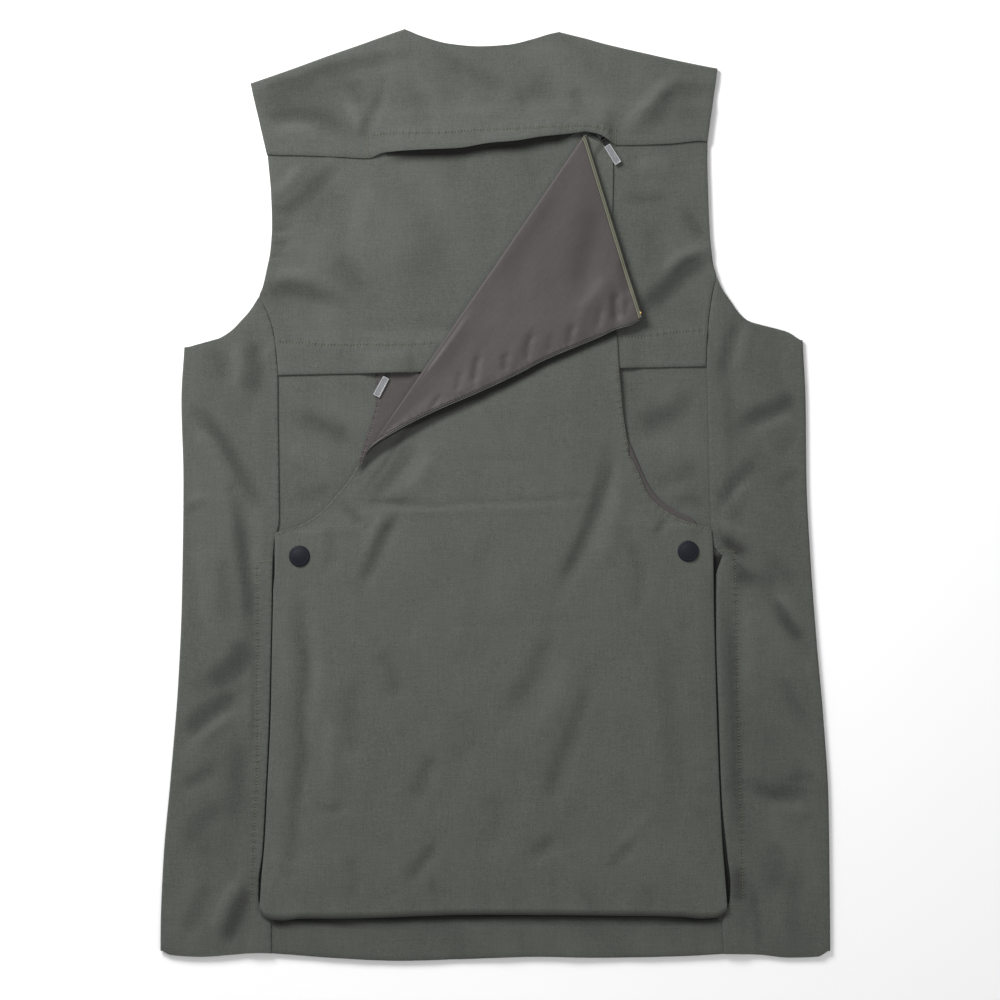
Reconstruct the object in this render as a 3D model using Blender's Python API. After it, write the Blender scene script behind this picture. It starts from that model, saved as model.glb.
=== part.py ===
"""Shooting vest laid flat on its front, seen from the back.

X runs to the right, Y towards the neck, Z up from the floor to the back of the vest.
Every length below is in millimetres; MM turns it into metres where a mesh is made.
Each cut and sewn piece is a wall of one thickness between two grids of points.
"""
import math
from collections import namedtuple

import bmesh
import bpy
import numpy as np
from mathutils import Matrix, Vector

MM = 0.001

# Layers, by the height of their under side
CLOTH = 1.2                      # thickness of every cloth wall
GAP = 0.3                        # clearance between layers and at seams
LAYER = CLOTH + GAP
BACK = 3.0                       # back panels, above the hollow inside the vest
LAP = BACK + LAYER               # what lies straight on the back panels
OVER_LAP = LAP + LAYER           # what lies on the lining, tapes and facings
FOLD = (BACK + CLOTH) / 2        # outer radius of the side and shoulder folds
FOLD_STEPS = 4                   # flats round each of those folds

FACING = 10.0                    # back panel's width under a side panel's lip
LIP_START = 28.0                 # the lip is raised from this far above the lower back
FRONT_LAP = 15.0                 # each front's reach past the centre front
ROLL = 2.4                       # outer radius of the roll along the bag's lower edge
ROLL_RETURN = 20.0               # bag cloth turned back under that roll
FLAP_FOLD = 3.5                  # outer radius of the folded flap, lining outside
FLAP_LIFT = 3.0                  # how far the flap's free corner stands up
FLAP_CREEP = 9.5                 # lining's width on the flap's under side
CREEP_SHARE = 0.28               # most of a short row that this width may take
FOLD_AXIS = 0.8                  # flap fold's axis above the bag's lower layer
TAPE = 3.4                       # width of the zip tape that shows on the flap
TAPE_SLANT = 0.78                # sine of the angle between the fold and that tape
HEM_ENDS = (-198.0, 202.0)       # reach of the lower back's hem, under the side panels' lips

Point = namedtuple("Point", "x y")
Row = namedtuple("Row", "left_x left_y right_x right_y")
Span = namedtuple("Span", "y left right")
Height = namedtuple("Height", "y z")
YokeColumn = namedtuple("YokeColumn", "low_x low_y top_x top_y edge_z middle_z lap_z")
WeltColumn = namedtuple("WeltColumn", "x edge_z upper_z")

# Princess seams and pocket lips, armhole to hem
SEAM_LEFT = [Point(*p) for p in (
    (-199.0, 165.9), (-194.0, 157.5), (-190.2, 148.3), (-186.8, 137.3), (-184.7, 123.1),
    (-183.5, 111.3), (-182.6, 100.0), (-182.4, 66.8), (-181.8, 20.6), (-181.4, -21.4),
    (-185.8, -42.4), (-186.8, -56.7), (-188.1, -115.5), (-189.8, -186.1), (-193.1, -256.6),
    (-195.9, -304.5), (-198.6, -323.8), (-198.8, -340.6), (-194.4, -351.5),
    (-188.5, -359.9), (-188.2, -385.6))]
SEAM_RIGHT = [Point(*p) for p in (
    (186.1, 183.1), (183.2, 171.8), (181.1, 160.0), (179.4, 146.6), (178.2, 130.6),
    (177.7, 118.9), (177.4, 107.4), (178.6, 66.8), (179.4, 20.6), (180.7, -21.4),
    (183.0, -43.0), (192.2, -46.5), (189.0, -56.0), (185.6, -68.0), (185.5, -115.5), (187.7, -186.1),
    (190.3, -256.6), (195.0, -304.5), (197.5, -328.0), (196.6, -342.3),
    (192.4, -352.4), (190.3, -359.9), (192.0, -385.6))]
WELT_ROWS = 7                    # seam rows that the upper back shares, top to free edge

# Armhole curves under the arms, from the seam to the side fold
ARMHOLE_LEFT = [Point(*p) for p in (
    (-199.0, 165.9), (-206.1, 155.0), (-213.7, 146.6), (-222.1, 138.2), (-231.3, 132.3),
    (-239.7, 128.9), (-248.1, 126.4), (-261.6, 123.9))]
ARMHOLE_RIGHT = [Point(*p) for p in (
    (186.1, 183.1), (190.3, 173.5), (197.1, 164.2), (205.5, 152.5), (213.9, 145.7),
    (222.3, 143.2), (239.1, 139.0), (247.5, 136.5), (258.4, 129.8))]

# Outer edge on each side, underarm to hem, and the whole back hem from left to right
EDGE_LEFT = [Point(*p) for p in (
    (-261.6, 123.9), (-264.1, 79.4), (-262.4, 12.2), (-263.7, -88.6), (-266.6, -155.8),
    (-273.3, -239.8), (-279.2, -307.0), (-281.6, -365.8), (-281.7, -383.5))]
EDGE_RIGHT = [Point(*p) for p in (
    (258.4, 129.8), (260.9, 79.4), (261.7, 12.2), (265.1, -55.0), (270.1, -122.2),
    (276.0, -189.4), (280.2, -256.6), (281.2, -323.8), (281.7, -383.5))]
HEM = [Point(*p) for p in (
    (-281.7, -383.5), (-275.9, -386.8), (-248.1, -388.5), (-222.9, -386.8), (-197.7, -385.1),
    (-176.7, -386.4), (-138.9, -389.3), (-80.1, -391.9), (-29.7, -390.6), (37.5, -388.5),
    (87.9, -389.3), (163.5, -387.7), (197.1, -386.0), (222.3, -386.8), (247.5, -389.3),
    (272.7, -388.5), (281.9, -383.5))]

# Front side seams, hem to underarm, straight on the vest's under side
FRONT_SEAM_LEFT = (Point(-232.0, -384.0), Point(-216.0, 136.0))
FRONT_SEAM_RIGHT = (Point(232.0, -384.0), Point(216.0, 141.0))

# Armhole edges of the upper back, above the princess seams
UPPER_ROWS = [Row(*r) for r in (
    (-195.6, 174.3, 183.6, 191.1), (-192.3, 188.6, 181.8, 202.9),
    (-189.1, 205.4, 180.4, 218.0), (-187.8, 226.4, 179.4, 236.5),
    (-188.5, 251.6, 178.8, 255.8), (-190.6, 276.8, 178.2, 281.0),
    (-191.9, 289.4, 178.4, 297.8), (-192.7, 302.0, 179.8, 320.5))]

# Mid-back welt of the upper back: heights of its free edge and of the row above it
WELT_COLUMNS = [WeltColumn(*c) for c in (
    (-182.6, LAP, LAP), (-150.0, LAP, LAP), (-118.0, LAP, LAP), (-107.0, OVER_LAP, OVER_LAP),
    (-97.0, 9.1, 6.9), (-87.0, 9.1, 6.9), (-76.0, 9.1, 6.9), (-66.0, OVER_LAP, OVER_LAP),
    (-40.0, OVER_LAP, OVER_LAP), (-12.0, OVER_LAP, OVER_LAP), (16.0, OVER_LAP, OVER_LAP),
    (44.0, OVER_LAP, OVER_LAP), (72.0, OVER_LAP, OVER_LAP), (96.0, OVER_LAP, OVER_LAP),
    (112.0, OVER_LAP, OVER_LAP), (125.0, LAP, LAP), (150.0, LAP, LAP), (177.4, LAP, LAP))]
BACK_LOWER_TOP = 121.4

# Yoke columns: lower edge, shoulder or neck point, and heights of the lapping rows.
# Between the two bartacks the lower edge is the free welt of the game bag's opening.
YOKE_COLUMNS = [YokeColumn(*c) for c in (
    (-191.9, 285.2, -206.1, 345.7, LAP, LAP, LAP),
    (-164.1, 284.8, -172.5, 357.4, LAP, LAP, LAP),
    (-130.5, 283.5, -138.9, 369.6, LAP, LAP, LAP),
    (-107.0, 282.4, -108.7, 380.1, LAP, LAP, LAP),
    (-93.6, 286.9, -90.2, 386.8, 6.6, 6.3, OVER_LAP),
    (-80.1, 288.0, -76.8, 391.4, 7.2, 6.6, OVER_LAP),
    (-54.9, 289.2, -59.1, 384.3, 7.8, 7.0, OVER_LAP),
    (-32.3, 290.2, -38.1, 378.8, 8.1, 7.2, OVER_LAP),
    (-4.5, 294.6, -12.9, 376.7, 8.1, 7.2, OVER_LAP),
    (17.3, 296.4, 10.6, 378.0, 8.1, 7.2, OVER_LAP),
    (39.1, 299.9, 32.4, 383.0, 8.1, 7.2, OVER_LAP),
    (61.0, 302.3, 45.0, 386.8, 8.1, 7.4, OVER_LAP),
    (75.3, 304.1, 54.3, 388.9, 9.1, 9.1, OVER_LAP),
    (86.2, 302.0, 66.0, 386.0, 9.1, 9.1, OVER_LAP),
    (93.7, 298.2, 79.5, 382.6, 9.1, 9.1, OVER_LAP),
    (98.4, 294.8, 87.9, 380.1, 6.6, 6.3, OVER_LAP),
    (102.1, 293.4, 97.9, 377.6, LAP, LAP, LAP),
    (121.5, 293.7, 121.5, 372.1, LAP, LAP, LAP),
    (148.3, 294.8, 155.1, 364.6, LAP, LAP, LAP),
    (172.7, 297.1, 180.3, 359.5, LAP, LAP, LAP),
    (178.2, 296.1, 187.0, 358.3, LAP, LAP, LAP))]
NECK_LEFT, NECK_RIGHT = 5, 12    # yoke columns at the two neck points
YOKE_LAP = (Point(-192.7, 306.2), Point(179.8, 324.7))
YOKE_RISE = (0.2, 0.5, 0.8, 1.0)  # rows above the lap, as shares of the way up

# Shoulder seams on the front side: outer end and neck end
SHOULDER_LEFT = (Point(-196.0, 318.6), Point(-67.5, 361.6))
SHOULDER_RIGHT = (Point(178.0, 330.8), Point(46.5, 360.0))

# Fronts, hem to shoulder: armhole or side edge, then centre edge without its lap
FRONT_LEFT_ROWS = [Row(*r) for r in (
    (-232.0, -384.0, 0.0, -387.0), (-229.1, -290.0, -1.0, -290.0),
    (-226.3, -200.0, -2.0, -200.0), (-223.3, -100.0, -4.0, -100.0),
    (-220.2, 0.0, -5.0, 0.0), (-217.7, 80.0, -6.0, 80.0), (-216.0, 136.0, -7.0, 136.0),
    (-203.0, 147.0, -7.0, 155.0), (-193.0, 163.0, -7.0, 180.0), (-186.0, 185.0, -7.0, 205.0),
    (-182.0, 215.0, -7.0, 240.0), (-182.0, 250.0, -8.0, 285.0), (-186.0, 282.0, -30.0, 296.0),
    (-191.0, 303.0, -62.0, 318.0), (-196.0, 318.6, -67.5, 361.6))]
FRONT_RIGHT_ROWS = [Row(*r) for r in (
    (232.0, -384.0, 0.0, -387.0), (229.1, -290.0, -1.0, -290.0),
    (226.4, -200.0, -2.0, -200.0), (223.3, -100.0, -4.0, -100.0),
    (220.3, 0.0, -5.0, 0.0), (217.9, 80.0, -6.0, 80.0), (216.0, 141.0, -7.0, 141.0),
    (203.0, 152.0, -7.0, 160.0), (190.0, 170.0, -7.0, 185.0), (180.0, 194.0, -7.0, 210.0),
    (174.0, 226.0, -7.0, 245.0), (173.0, 262.0, -8.0, 285.0), (174.0, 294.0, 12.0, 298.0),
    (176.0, 314.0, 40.0, 320.0), (178.0, 330.8, 46.5, 360.0))]
FRONT_COLUMNS = (0.0, 0.2, 0.4, 0.6, 0.72, 0.83, 1.0)
PLACKET_SHARE = 0.8              # columns past this share are the centre lap
NECKLINE_START = 287.0           # rows above this line have no lap

# Game bag front. The fold runs from A by the upper zip pull to C on the left edge, and
# turns the bag's upper left corner over to B. Shares are places along the fold.
CORNER_A = Point(74.8, 302.4)
CORNER_C = Point(-112.1, 29.0)
FLAP_EDGE = [Point(*p) for p in (
    (123.6, 147.9), (113.0, 141.6), (101.3, 138.2), (88.7, 132.3), (37.5, 110.5),
    (20.7, 101.6), (-12.1, 86.1), (-52.4, 68.7), (-82.7, 53.3), (-106.2, 37.4),
    (-112.1, 29.0))]
FLAP_SHARES = (0.0, 0.08, 0.17, 0.27, 0.37, 0.47, 0.56, 0.64, 0.715, 0.785, 0.85, 0.905)
FLAP_SKEW = 0.025                # rows lean back from the free edge's far end by this share
FLAP_COLUMNS = (0.12, 0.3, 0.5, 0.68, 0.84, 1.0)
BAG_RIGHT_UPPER = [Point(*p) for p in (
    (98.8, 290.2), (98.8, 281.0), (98.4, 247.4), (97.9, 213.8), (98.8, 180.2),
    (100.9, 146.6), (102.6, 125.6), (103.8, 106.3), (105.5, 87.8), (107.2, 69.3),
    (109.7, 52.5), (111.8, 40.7))]
BAG_ROWS = [Row(*r) for r in (
    (-113.4, 27.3, 116.0, 27.3), (-122.1, 13.0, 122.3, 13.9), (-133.1, -0.4, 129.4, -1.3),
    (-145.7, -13.9, 140.8, -12.2), (-160.8, -24.4, 155.1, -20.4),
    (-175.9, -29.8, 169.3, -25.2), (-185.1, -32.8, 181.1, -28.6),
    (-185.1, -56.7, 183.0, -55.0), (-185.7, -88.6, 183.5, -88.6),
    (-186.6, -130.6, 184.5, -130.6), (-187.7, -186.1, 186.1, -186.1),
    (-190.2, -239.8, 188.1, -239.8), (-192.7, -290.2, 190.6, -290.2),
    (-195.4, -323.8, 192.9, -323.8))]
BAG_BOTTOM = [Point(*p) for p in (
    (-198.2, -349.9), (-194.4, -354.9), (-178.4, -357.4), (-163.3, -355.7),
    (-130.5, -355.7), (-12.9, -352.4), (87.9, -353.2), (155.1, -354.1),
    (171.9, -355.7), (185.3, -354.9), (194.5, -349.9))]
BAG_EDGE = (12.0, 30.0)          # columns this far in from the fold or left edge
BAG_COLUMNS = 8                  # even columns between those and the right edge
BAG_RIGHT_EDGE = 10.0
BAG_EDGE_SHARES = (0.35, 0.55, 0.2)   # most of a short row that each of those may take
ROLL_START = -300.0              # the bag's sides rise to its roll from here down

# Height of the bag front along the fold, and the least height away from it
BAG_CREST = [Height(*h) for h in (
    (305.0, 6.0), (205.0, 6.0), (180.0, 6.6), (155.0, 7.9), (134.0, 9.0), (98.0, 9.0),
    (78.0, 8.4), (52.0, 7.5), (27.0, 7.5), (-10.0, 6.0), (-400.0, 6.0))]
BAG_FLOOR = [Height(*h) for h in (
    (305.0, 4.5), (205.0, 4.5), (180.0, 5.1), (155.0, 6.4), (134.0, 7.5), (98.0, 7.5),
    (78.0, 6.9), (52.0, 6.0), (-290.0, 6.0), (-323.8, 7.2), (-350.0, 8.1))]
BAG_SIDE = [Height(*h) for h in (
    (305.0, 4.5), (205.0, 4.5), (180.0, 5.1), (155.0, 6.4), (134.0, 7.5), (98.0, 7.5),
    (78.0, 6.9), (52.0, 6.0), (-56.0, 6.0), (-88.6, 4.5), (-290.0, 4.5), (-323.8, 6.5),
    (-350.0, 8.1))]
CREST_START, CREST_WIDTH = 14.0, 6.0

# Brown lining on the bag's back wall, from under the mid-back welt to the bag's foot
LINING_SPANS = [Span(*s) for s in (
    (103.0, -99.9, 102.1), (79.4, -100.3, 103.8), (60.9, -104.5, 106.3),
    (44.9, -109.5, 112.2), (29.8, -114.1, 118.5), (16.4, -118.8, 124.4),
    (3.8, -125.5, 131.5), (-7.1, -133.9, 141.6), (-15.5, -142.3, 155.1),
    (-22.3, -153.2, 167.7), (-34.0, -170.0, 170.6), (-55.0, -172.5, 170.6),
    (-122.2, -174.2, 171.9), (-189.4, -175.5, 174.0), (-256.6, -178.4, 176.5),
    (-328.0, -183.5, 181.1))]

# Zip tapes under the two welts
TAPE_BACK_TOP, TAPE_BACK_FOOT = 118.8, 103.4
TAPE_BACK_SIDES = (-99.0, 103.0)
TAPE_YOKE_COLUMNS = [Row(*r) for r in (   # upper point, then lower point
    (-91.0, 301.0, -91.0, 291.0), (-60.0, 304.0, -60.0, 292.0), (-30.0, 306.0, -30.0, 293.5),
    (0.0, 309.0, 0.0, 298.0), (30.0, 312.0, 30.0, 301.5), (58.0, 314.0, 58.0, 305.0),
    (75.0, 315.0, 75.0, 306.5), (80.5, 314.0, 80.5, 301.8), (86.2, 312.0, 86.2, 299.8),
    (92.0, 308.0, 92.0, 296.6))]

# Zip sliders and pulls. Each pin lies level, square to its pull.
SEAT = LAP + CLOTH               # top of the tape and lining that a pull lies on
PIN_UPPER = Point(90.9, 297.4)
PIN_LOWER = Point(-89.0, 103.0)
PULL_TURN_UPPER = 32.0           # degrees to the right of straight down
PULL_TURN_LOWER = -28.1
PULL_THICK = 1.5
EYE_RADIUS = 1.4
EYE_HOLE = 0.8
PIN_RADIUS = 0.5
EYE_WIDTH = 2.6
NECK_WIDTH = 2.4
PULL_SHOULDER = 5.2              # pin to the top of the pull's plate
PULL_LENGTH = 17.9
PULL_TOP_WIDTH = 5.6
PULL_FOOT_WIDTH = 6.1
PULL_RIM = 0.8
PULL_RECESS = 0.35
PULL_CORNERS = (0.6, 0.5)        # chamfers at the top and foot of the plate
LUG_THICK = 1.0
LUG_CLEAR = 0.3
SLIDER_LENGTH = 6.0
SLIDER_WIDTH = 6.0
SLIDER_TALL = 2.2
SLIDER_CORNER = 1.5
LUG_FRONT = 0.9                  # how far the lugs reach past the pin
SLIDER_START = 2.4               # pin to the near end of the slider's body
PIN_HEIGHT = SEAT + GAP + EYE_RADIUS

SNAP_PROFILE = ((8.85, 0.0), (8.85, 0.9), (8.2, 1.7), (7.2, 2.0), (6.6, 1.85), (4.4, 2.5),
                (2.2, 2.85))     # radius and height, rim to crown
SNAP_CROWN = 3.0
SNAP_SIDES = 28
SNAP_LEFT = Point(-164.2, -51.7)
SNAP_RIGHT = Point(161.7, -47.6)

Finish = namedtuple("Finish", "colour roughness metallic")
OLIVE = Finish((0.145, 0.152, 0.138, 1.0), 0.85, 0.0)
BROWN = Finish((0.100, 0.083, 0.085, 1.0), 0.8, 0.0)
TAPE_OLIVE = Finish((0.26, 0.26, 0.16, 1.0), 0.8, 0.0)
TAPE_DARK = Finish((0.06, 0.055, 0.05, 1.0), 0.8, 0.0)
NICKEL = Finish((0.55, 0.56, 0.57, 1.0), 0.3, 1.0)
NAVY = Finish((0.019, 0.024, 0.036, 1.0), 0.35, 0.0)


def smooth(value, start, width):
    """Ease from 0 to 1 as value goes from start to start + width."""
    share = np.clip((value - start) / width, 0.0, 1.0)
    return share * share * (3.0 - 2.0 * share)


def height_at(table, y):
    """Height from a table whose rows run from the neck down."""
    return np.interp(-y, [-row.y for row in table], [row.z for row in table])


def x_at(points, y):
    """X on a line of points that runs from the neck down."""
    return np.interp(-y, [-point.y for point in points], [point.x for point in points])


def y_at(points, x):
    """Y on a line of points that runs across the vest, either way."""
    ordered = sorted(points)
    return np.interp(x, [point.x for point in ordered], [point.y for point in ordered])


def along(points, share):
    """Point at a share of the length of a line of points."""
    line = np.array(points, float)
    steps = np.hypot(*np.diff(line, axis=0).T)
    reach = np.concatenate(([0.0], np.cumsum(steps)))
    where = share * reach[-1]
    return np.array([np.interp(where, reach, line[:, axis]) for axis in (0, 1)])


def blend(start, end, share):
    """Point on the straight line between two points."""
    return np.array(start, float) * (1.0 - share) + np.array(end, float) * share


def finish_material(name, finish):
    """Principled material with the piece's colour, roughness and metallic value."""
    material = bpy.data.materials.new(name)
    material.use_nodes = True
    shader = material.node_tree.nodes["Principled BSDF"]
    shader.inputs["Base Color"].default_value = finish.colour
    shader.inputs["Roughness"].default_value = finish.roughness
    shader.inputs["Metallic"].default_value = finish.metallic
    return material


def place(name, mesh, finish):
    """Put a mesh in the scene as one named piece with its own material."""
    piece = bpy.data.objects.new(name, mesh)
    bpy.context.scene.collection.objects.link(piece)
    mesh.materials.append(finish_material(name, finish))
    return piece


def wall(name, finish, under, over, kept=None):
    """One solid between two grids of points, with rims round its edges and openings."""
    rows, columns = under.shape[:2]
    if kept is None:
        kept = np.ones((rows - 1, columns - 1), bool)
    cells = [(row, column) for row in range(rows - 1) for column in range(columns - 1)
             if kept[row, column]]
    edges = set()
    for row, column in cells:
        ring = [(row, column), (row, column + 1), (row + 1, column + 1), (row + 1, column)]
        edges.update(zip(ring, ring[1:] + ring[:1]))
    rims = sorted(edge for edge in edges if edge[::-1] not in edges)

    points = {}

    def number(layer, place_in_grid):
        return points.setdefault((layer, place_in_grid), len(points))

    faces = []
    for row, column in cells:
        near, right = (row, column), (row, column + 1)
        far, left = (row + 1, column + 1), (row + 1, column)
        for corners in ((near, right, far), (near, far, left)):
            faces.append([number(1, corner) for corner in corners])
            faces.append([number(0, corner) for corner in reversed(corners)])
    for start, end in rims:
        faces.append([number(1, end), number(1, start), number(0, start), number(0, end)])
    layers = (under, over)
    vertices = [Vector(layers[layer][spot]) * MM for layer, spot in points]

    mesh = bpy.data.meshes.new(name)
    mesh.from_pydata(vertices, [], faces)
    form = bmesh.new()
    form.from_mesh(mesh)
    bmesh.ops.recalc_face_normals(form, faces=form.faces)
    if form.calc_volume(signed=True) < 0.0:
        bmesh.ops.reverse_faces(form, faces=form.faces)
    form.to_mesh(mesh)
    form.free()
    mesh.shade_smooth()
    mesh.set_sharp_from_angle(angle=math.radians(40))
    return place(name, mesh, finish)


def flat_wall(name, finish, points, heights, kept=None):
    """Wall over a grid of plan points, with the height of its under side at each."""
    under = np.dstack([points, heights])
    over = np.dstack([points, heights + CLOTH])
    return wall(name, finish, under, over, kept)


# Side panels: each runs from its back seam round the side fold to its front seam.

SIDE_COLUMNS = (0.0, 0.12, 0.24, 0.42, 0.7, 1.0)
SIDE_FRONT_COLUMNS = (0.35, 0.7, 1.0)
LIP_SHARE = 0.3                  # columns up to this share lie on the lower back's facing


def side_panel(name, seam, armhole, edge, front_seam, outward):
    top, foot = seam[0], seam[-1]
    corner_top, corner_foot = edge[0], edge[-1]
    under, over = [], []
    for spot in seam:
        fall = (top.y - spot.y) / (top.y - foot.y)
        lift = LAYER if spot.y < BACK_LOWER_TOP + LIP_START else 0.0
        inner, outer = [], []
        for share in SIDE_COLUMNS:
            high = y_at(armhole, blend(top, corner_top, share)[0])
            low = y_at(HEM, blend(foot, corner_foot, share)[0])
            y = high + (low - high) * fall
            if share == 0.0:
                y = spot.y
            x = spot.x + (x_at(edge, y) - outward * FOLD - spot.x) * share
            z = BACK + lift * (1.0 if share < LIP_SHARE else 0.0)
            inner.append((x, y, z))
            outer.append((x, y, z + CLOTH))
        turn_x = inner[-1][0]
        turn_y = inner[-1][1]
        for step in range(1, FOLD_STEPS + 1):
            angle = math.pi * step / FOLD_STEPS
            for line, radius in ((inner, FOLD - CLOTH), (outer, FOLD)):
                line.append((turn_x + outward * radius * math.sin(angle), turn_y,
                             FOLD + radius * math.cos(angle)))
        foot_y, head_y = front_seam[0].y, front_seam[1].y
        seam_y = head_y + (foot_y - head_y) * fall
        seam_x = blend(*front_seam, (seam_y - foot_y) / (head_y - foot_y))[0]
        for share in SIDE_FRONT_COLUMNS:
            x, y = blend((turn_x, turn_y), (seam_x, seam_y), share)
            inner.append((x, y, CLOTH))
            outer.append((x, y, 0.0))
        under.append(inner)
        over.append(outer)
    return wall(name, OLIVE, np.array(under), np.array(over))


# Upper back: lies between the princess seams, its lower edge a welt over the lower back.

def upper_back(name):
    rows = []
    for left, right in zip(SEAM_LEFT[WELT_ROWS - 1::-1], SEAM_RIGHT[WELT_ROWS - 1::-1]):
        rows.append(Row(left.x + GAP, left.y, right.x - GAP, right.y))
    rows += UPPER_ROWS
    first, last = WELT_COLUMNS[0].x, WELT_COLUMNS[-1].x
    points, heights = [], []
    for number, row in enumerate(rows):
        start, end = (row.left_x, row.left_y), (row.right_x, row.right_y)
        line, levels = [], []
        for column in WELT_COLUMNS:
            line.append(blend(start, end, (column.x - first) / (last - first)))
            levels.append((column.edge_z, column.edge_z, column.upper_z)[number]
                          if number < 3 else BACK)
        points.append(line)
        heights.append(levels)
    return flat_wall(name, OLIVE, np.array(points), np.array(heights))


# Lower back: one flat panel under the bag, with a facing under each side panel's lip.

def lower_back(name):
    shares = np.linspace(0.0, 1.0, 13)
    points = []
    for fall in np.linspace(0.0, 1.0, 12):
        line = []
        for share in shares:
            low = y_at(HEM, HEM_ENDS[0] + (HEM_ENDS[1] - HEM_ENDS[0]) * share)
            y = BACK_LOWER_TOP + (low - BACK_LOWER_TOP) * fall
            left, right = x_at(SEAM_LEFT, y) - FACING, x_at(SEAM_RIGHT, y) + FACING
            line.append((left + (right - left) * share, y))
        points.append(line)
    points = np.array(points)
    return flat_wall(name, OLIVE, points, np.full(points.shape[:2], BACK))


# Yoke: up the back to the neck, and over the shoulders to a seam on the front side.

def back_yoke(name):
    under, over = [], []
    for number, column in enumerate(YOKE_COLUMNS):
        on_shoulder = number <= NECK_LEFT or number >= NECK_RIGHT
        if number <= NECK_LEFT:
            ends, tip, neck, seam = (0, NECK_LEFT), 0, NECK_LEFT, SHOULDER_LEFT
        else:
            ends, tip, neck, seam = (NECK_RIGHT, -1), -1, NECK_RIGHT, SHOULDER_RIGHT
        start, end = (YOKE_COLUMNS[spot] for spot in ends)
        slope = Vector((end.top_x - start.top_x, end.top_y - start.top_y)).normalized()
        outward = Vector((-slope.y, slope.x)) if on_shoulder else Vector((0.0, 0.0))
        top = np.array((column.top_x, column.top_y)) - np.array(outward) * FOLD
        low = np.array((column.low_x, column.low_y))
        lap_y = y_at(YOKE_LAP, column.low_x)
        lap = blend(low, top, (lap_y - low[1]) / (top[1] - low[1]))

        spots = [(low, column.edge_z), (blend(low, lap, 0.5), column.middle_z),
                 (lap, column.lap_z)]
        spots += [(blend(lap, top, share), BACK) for share in YOKE_RISE]
        inner = [(*spot, z) for spot, z in spots]
        outer = [(*spot, z + CLOTH) for spot, z in spots]
        for step in range(1, FOLD_STEPS + 1):
            angle = math.pi * step / FOLD_STEPS
            for line, radius in ((inner, FOLD - CLOTH), (outer, FOLD)):
                bulge = top + np.array(outward) * radius * math.sin(angle)
                line.append((*bulge, FOLD + radius * math.cos(angle)))
        tip_x, neck_x = YOKE_COLUMNS[tip].top_x, YOKE_COLUMNS[neck].top_x
        seam_spot = blend(*seam, (column.top_x - tip_x) / (neck_x - tip_x))
        for share in (0.5, 1.0):
            spot = blend(top, seam_spot, share)
            inner.append((*spot, CLOTH))
            outer.append((*spot, 0.0))
        under.append(inner)
        over.append(outer)
    under, over = np.array(under), np.array(over)
    kept = np.ones((under.shape[0] - 1, under.shape[1] - 1), bool)
    kept[NECK_LEFT:NECK_RIGHT, 6:] = False
    return wall(name, OLIVE, under, over, kept)


# Fronts: flat on the floor, the right one lapping over the left at the centre.

def front(name, rows, lap, raised):
    points, heights = [], []
    for row in rows:
        toward = math.copysign(GAP, row.right_x - row.left_x)
        start = np.array((row.left_x + toward, row.left_y))
        end = np.array((row.right_x + lap, row.right_y))
        if row is rows[-1]:
            start, end = start - (0.0, GAP), end - (lap, GAP)
        elif row.right_y > NECKLINE_START:
            end = np.array((row.right_x, row.right_y))
        points.append([blend(start, end, share) for share in FRONT_COLUMNS])
        heights.append([raised if share > PLACKET_SHARE else 0.0 for share in FRONT_COLUMNS])
    return flat_wall(name, OLIVE, np.array(points), np.array(heights))


# Game bag: its front, the corner folded over to the right, and the lining.

FOLD_LINE = np.array(CORNER_C, float) - np.array(CORNER_A, float)
FOLD_ALONG = FOLD_LINE / np.hypot(*FOLD_LINE)
FOLD_ACROSS = np.array((-FOLD_ALONG[1], FOLD_ALONG[0]))   # towards the vest's right
FOLD_FLATS = 5


def fold_distance(points):
    """Distance to the right of the fold, for a grid of plan points."""
    return (points - np.array(CORNER_A, float)) @ FOLD_ACROSS


def bag_height(points):
    """Under side of the bag front where it lies on the layers below it."""
    crest = height_at(BAG_CREST, points[..., 1])
    floor = height_at(BAG_FLOOR, points[..., 1])
    drop = smooth(np.maximum(fold_distance(points), 0.0), CREST_START, CREST_WIDTH)
    return np.maximum(floor, crest - LAYER * drop)


def flap_row(share, inset=0.0):
    """Plan points of the turned-over row at a share of the fold, and their lift."""
    start = CORNER_A + FOLD_LINE * share + FOLD_ACROSS * FLAP_FOLD
    end = along(FLAP_EDGE, share * (1.0 - FLAP_SKEW * share))
    length = np.hypot(*(end - start))
    reach = (length - inset) / length
    points = np.array([blend(start, end, column * reach) for column in FLAP_COLUMNS])
    lift = FLAP_LIFT * smooth(np.array(FLAP_COLUMNS), 0.5, 0.5) * (1.0 - share ** 3)
    return start, points, lift


def fold_section(share, radius):
    """Points round the fold at one place, from the lower layer to the upper one."""
    start = CORNER_A + FOLD_LINE * share + FOLD_ACROSS * FLAP_FOLD
    axis = height_at(BAG_CREST, start[1]) + CLOTH + FOLD_AXIS
    ring = []
    for step in range(FOLD_FLATS + 1):
        angle = math.pi * step / FOLD_FLATS
        spot = start - FOLD_ACROSS * radius * math.sin(angle)
        ring.append((*spot, axis - radius * math.cos(angle)))
    return ring


def upper_height(points, lift, above):
    """Under side of a layer of the turned-over flap, above the bag front's height."""
    return height_at(BAG_CREST, points[:, 1]) + CLOTH + 2 * FOLD_AXIS + above + lift


def bag_columns(left, right):
    """Plan points from the left edge or fold to the right edge."""
    length = np.hypot(*(np.array(right) - np.array(left)))
    reaches = (*BAG_EDGE, BAG_RIGHT_EDGE)
    near, second, last = (min(reach / length, most)
                          for reach, most in zip(reaches, BAG_EDGE_SHARES))
    shares = [0.0, near, *np.linspace(second, 1.0 - last, BAG_COLUMNS), 1.0]
    return np.array([blend(left, right, share) for share in shares])


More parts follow.
